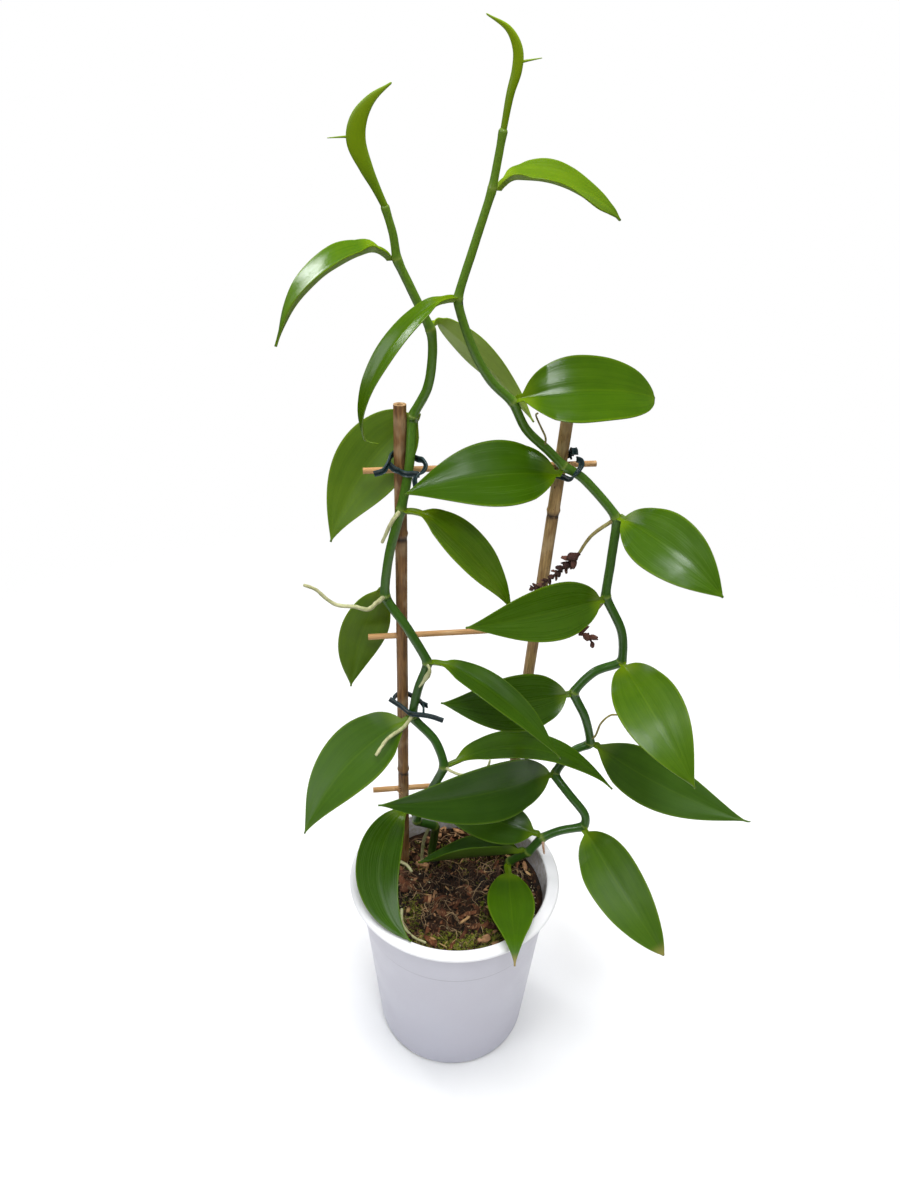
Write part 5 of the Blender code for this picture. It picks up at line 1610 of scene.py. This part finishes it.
def leaf(name):
    """A fleshy leaf: a channelled stalk that clasps its stem, a blade with a grooved midrib, a rounded
    edge and a slight ripple. Its upper and lower faces have their own finish."""
    row, look = LEAVES[name], LEAF_LOOKS[name]
    joint, frame = JOINTS[row["at"]], leaf_frame(row)
    shift = seat_shift(name, row, joint, frame)
    bare = row["stalk"] / row["length"]
    stations = [bare * i / STALK_STEPS for i in range(STALK_STEPS)]
    stations += [bare + (1 - bare) * (i / FINE_STEPS) ** 0.94 for i in range(FINE_STEPS + 1)]
    across = [math.sin(math.pi / 2 * (2 * j / (FINE_ACROSS - 1) - 1)) for j in range(FINE_ACROSS)]
    seed = Vector((len(name) * 3.1, row["length"] * 0.37, row["width"] * 0.71))
    rings, maps = [], []
    for t, at in zip(stations, leaf_frames(joint, frame, row, stations)):
        s, half, section = blade_section(row, t, bare, across, at)
        side, up = at[2], at[3]
        blade = min(1, s / 0.12) * min(1, (1 - s) / 0.10)
        groove = RIB_GROOVE * min(1, t / 0.05) * (1 - 0.6 * s) * min(1, (1 - s) / 0.05)
        keel = RIB_KEEL * min(1, t / 0.05) * (1 - s) ** 0.8
        upper, lower = [], []
        for u, (middle, depth) in zip(across, section):
            ripple = noise.noise(seed + Vector((s * 3.2, 1.3 if u > 0 else 7.9, 0)))
            lift = look["wave"] * MM * 2 * ripple * abs(u) ** 2.2 * blade
            lift += 0.22 * MM * noise.noise(seed + Vector((s * 6, u * 2.2, 4))) * blade
            rib = math.exp(-(u * half / (1.1 * MM)) ** 2)
            upper.append(middle + up * (lift + depth * 0.92 - groove * rib) + shift)
            lower.append(middle + up * (lift - depth * 0.92 - keel * rib) + shift)
        rim = 0.30 * LEAF_EDGE
        first = (upper[0] + lower[0]) / 2 + side * rim
        last = (upper[-1] + lower[-1]) / 2 - side * rim
        rings.append([first] + upper + [last] + lower[::-1])
        flat = [(u / 2 + 0.5, s) for u in across]
        maps.append([(0.0, s)] + flat + [(1.0, s)] + flat[::-1])
    for _ in range(look.get("curl", 0)):
        turn = Quaternion(at[2], math.radians(-CURL_TURN)) @ Quaternion(at[3], math.radians(CURL_TURN * 0.6))
        at = (at[0], turn @ at[1], at[2], turn @ at[3])
        rings.append(drawn_in(rings[-1], CURL_THINNING, at[1] * CURL_STEP))
        maps.append(maps[-1])
    rings.insert(0, [joint + (p - shift - joint) * 0.6 for p in rings[0]])
    maps.insert(0, maps[0])
    top = leaf_top(name, look["tone"], look["dull"], look.get("dry", 0))
    under = leaf_under(name, look["tone"], look.get("pale", UNDERSIDE_PALE))
    obj = piece(leaf_mesh(f"{name}_blade", rings, maps), top, under)
    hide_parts(name)


def leaf_mesh(name, rings, maps):
    """A leaf's closed mesh, its upper faces first in slot and its lower ones second."""
    sides = len(rings[0])
    corners, slots = [], []
    for low, high in zip(maps, maps[1:]):
        for j in range(sides):
            k = (j + 1) % sides
            corners += [low[j], low[k], high[k], high[j]]
            slots.append(0 if j <= FINE_ACROSS else 1)
    corners += maps[0][::-1] + maps[-1]
    slots += [0, 0]
    mesh = mesh_from(name, [p for ring in rings for p in ring], tube_faces(len(rings), sides))
    write_map(mesh, "leaf_map", corners)
    mesh.polygons.foreach_set("material_index", slots)
    return outwards(mesh)


def fold_rings(fold_line):
    """Rings along a folded leaf, each with its share of the length from the stem to the tip."""
    places = smooth_route(in_metres(fold_line), YOUNG_STEPS)
    halves = []
    earlier, later = [fold_line[0], *fold_line], [*fold_line[2:], fold_line[-1]]
    for a, b, before, after in zip(fold_line, fold_line[1:], earlier, later):
        leave, arrive = (b[3] - before[3]) / 2, (after[3] - a[3]) / 2
        for i in range(YOUNG_STEPS):
            halves.append(max(0.25, hermite(a[3], b[3], leave, arrive, i / YOUNG_STEPS)) * MM)
    halves.append(fold_line[-1][3] * MM)
    shape = [(1, 0), (0.92, 0.42), (0.7, 0.8), (0.38, 0.97), (0, 1), (-0.38, 0.86)]
    shape += [(-0.75, 0.62), (-0.94, 0.3), (-0.985, 0)] + [(x, -y) for x, y in shape[:0:-1]]
    rings, ages = [], []
    for i, (place, half) in enumerate(zip(places, halves)):
        ahead = heading_at(places, i)
        deep = square_to(ahead, Vector((0, -1, 0)))
        wide = ahead.cross(deep)
        share = i / (len(places) - 1)
        thick = min(half, (1.5 - 1.1 * share) * MM)
        rings.append([place + wide * half * x + deep * thick * y for x, y in shape])
        ages.append(share)
    rings.append(drawn_in(rings[-1], 0.2, heading_at(places, len(places) - 1) * 0.4 * MM))
    rings.insert(0, drawn_in(rings[0], 0.7, heading_at(places, 0) * -2 * MM))
    return rings, [0.0] + ages + [1.0]


def young_leaf(name):
    """The folded leaf at a shoot's tip, keeled on one side, open and thin on the other, and the
    hair-thin tip of its sheath."""
    fold_line, sheath = YOUNG[name]
    made = young_material(f"{name}_skin", YOUNG_TONES[name])
    rings, ages = fold_rings(fold_line)
    obj = piece(tube_mesh(f"{name}_fold", rings, {"age": ages}), made)
    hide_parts(name)
    route = smooth_route(in_metres(sheath), SPUR_STEPS)
    rings = round_rings(route, spread([0.75 * MM, 0.45 * MM, 0.15 * MM], len(route)), SPUR_SIDES)
    spur = piece(tube_mesh(f"{name}_spur", rings, {"age": [0.9] * len(rings)}), made)


# Roots, tendrils and the dry sheath

def grown_route(points, line):
    """A route that starts inside a vine, at the nearest place on its centre line."""
    start = points[0]
    centre = min(line, key=lambda place: (place - start).length)
    return smooth_route([centre.lerp(start, 0.25)] + points[1:], ROOT_STEPS)


def root(name, lines, materials):
    """An aerial root with an uneven skin and a blunt tip, or a thin dry tendril."""
    vine_letter, thick, thin, places = ROOTS[name]
    points = in_metres(places)
    if vine_letter:
        route = grown_route(points, lines[vine_letter])
    else:
        route = smooth_route(points, ROOT_STEPS)
    radii = spread([thick * MM, thin * MM], len(route))
    if name == THICKENED_ROOT:
        shares = [i / (len(route) - 1) for i in range(len(route))]
        radii = [r * (0.75 + 0.85 * math.exp(-((t - 0.62) / 0.22) ** 2)) for r, t in zip(radii, shares)]
    rings = round_rings(route, radii, ROOT_SIDES, 0.20, thick)
    kind = name.split("_")[0]
    obj = piece(tube_mesh(f"{name}_skin", rings), materials[kind])
    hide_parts(name)


def spike(name, lines, materials):
    """A withered raceme: its stalk and the crumpled bracts along its axis."""
    count, stalk, axis = SPIKES[name]
    route = grown_route(in_metres(stalk), lines["R"])
    rings = round_rings(route, spread([1.0 * MM, 0.75 * MM], len(route)), SPIKE_SIDES, 0.12)
    obj = piece(tube_mesh(f"{name}_stalk_skin", rings), materials["tendril"])
    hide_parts(f"{name}_stalk")
    draw = random.Random(count)
    line = smooth_route(in_metres(axis), SPIKE_STEPS)
    husks = Scatter(f"{name}_husks")
    points, faces = strand(line, spread([1.0 * MM, 0.5 * MM], len(line)), 8)
    husks.add(points, faces, 0.3)
    for i in range(count):
        at = (i + 0.5) / count * (len(line) - 1)
        k = int(at)
        place = line[k].lerp(line[k + 1], at - k)
        ahead = (line[k + 1] - line[k]).normalized()
        turn = Quaternion(ahead, HUSK_TURN * i)
        out = turn @ ahead.orthogonal().normalized()
        size = (3.6 - 1.2 * i / count + 0.8 * noise.noise(Vector((i * 1.7, 0.4, 0)))) * MM
        size *= HUSK_PUFF + 0.5 * max(0, 1 - i / 9)
        lean = (out + ahead * 0.35).normalized()
        husk(husks, draw, place, lean, ahead, size)
    obj = husks.finish(materials["withered"])
    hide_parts(f"{name}_bracts")


def husk(husks, draw, place, lean, ahead, size):
    """A shrivelled bract: a curled, crinkled scale that narrows at both ends."""
    side = lean.cross(ahead).normalized()
    up = side.cross(lean)
    curl = draw.uniform(0.3, 0.9)
    seed = Vector((draw.random() * 40, 0, 0))
    steps, sides = 7, 8
    points = []
    for i in range(steps + 1):
        t = i / steps
        middle = place + lean * size * t + up * size * curl * t * t * 0.5
        wide = size * (0.10 + 0.36 * math.sin(math.pi * min(1, t * 0.92 + 0.06)))
        thick = size * (0.10 + 0.05 * math.sin(math.pi * t))
        for k in range(sides):
            turn = math.tau * k / sides
            off = side * math.cos(turn) * wide
            off += up * (math.sin(turn) * thick + abs(math.cos(turn)) * wide * 0.4)
            crinkle = noise.noise(seed + (middle + off) / (0.9 * MM)) * 0.32 * MM
            points.append(middle + off + up * crinkle + side * crinkle * 0.5)
    husks.add(points, tube_faces(steps + 1, sides), draw.random())


# Ties

def tie_section():
    """The ribbon's outline: a thin web between two raised ribs, as shares of its width and thickness,
    with how much each point belongs to a rib."""
    out = []
    for side in (1, -1):
        for k in range(9):
            turn = math.radians(-130 + 260 * k / 8)
            x = side * (0.80 + 0.20 * math.cos(turn))
            y = side * 0.5 * math.sin(turn)
            out.append((x, y, 1.0))
        out.append((side * 0.30, side * 0.22, 0.0))
        out.append((-side * 0.30, side * 0.22, 0.0))
    return out


def tie(name, made):
    """A plastic tie: ribbed ribbons bent round a cane and a vine."""
    section = tie_section()
    for number, strand_places in enumerate(TIES[name]):
        places = smooth_route(in_metres(strand_places), TIE_STEPS)
        widths = smooth_route([Vector(p[3]).normalized() for p in strand_places], TIE_STEPS)
        rings = []
        for i, (place, wide) in enumerate(zip(places, widths)):
            ahead = heading_at(places, i)
            wide = square_to(ahead, wide)
            deep = ahead.cross(wide).normalized()
            rings.append([place + wide * x * TIE_WIDTH / 2 + deep * y * TIE_THICK for x, y, _ in section])
        label = f"{name}_strip" if number == 0 else f"{name}_strip_{number}"
        mesh = tube_mesh(label, rings)
        write_marks(mesh, "ring", [rib for _ in rings for _, _, rib in section])
        mesh.set_sharp_from_angle(angle=TIE_SHARP_FROM)
        obj = piece(mesh, made)
        if number == 0:
            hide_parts(name)


def plant():
    stem = stem_material()
    lines = {"L": vine("vine_left", LEFT_VINE, stem), "R": vine("vine_right", RIGHT_VINE, stem)}
    for name in LEAVES:
        leaf(name)
    for name in YOUNG:
        young_leaf(name)
    materials = {
        "root": root_material("root_skin", from_srgb(206, 206, 158), from_srgb(168, 176, 120), 0.35),
        "tendril": root_material("tendril_skin", from_srgb(168, 160, 96), from_srgb(134, 118, 66), 0.4),
        "dry": root_material("dry_skin", from_srgb(222, 186, 160), from_srgb(176, 128, 100), 0.3),
        "withered": withered_material(),
    }
    for name in ROOTS:
        root(name, lines, materials)
    for name in SPIKES:
        spike(name, lines, materials)
    tie_plastic = tie_material()
    for name in TIES:
        tie(name, tie_plastic)


surface_group()
leaf_group()
camera()
studio()
pot()
bark_ground()
shredded_bark()
coir()
moss()
pale_bits()
ladder()
plant()
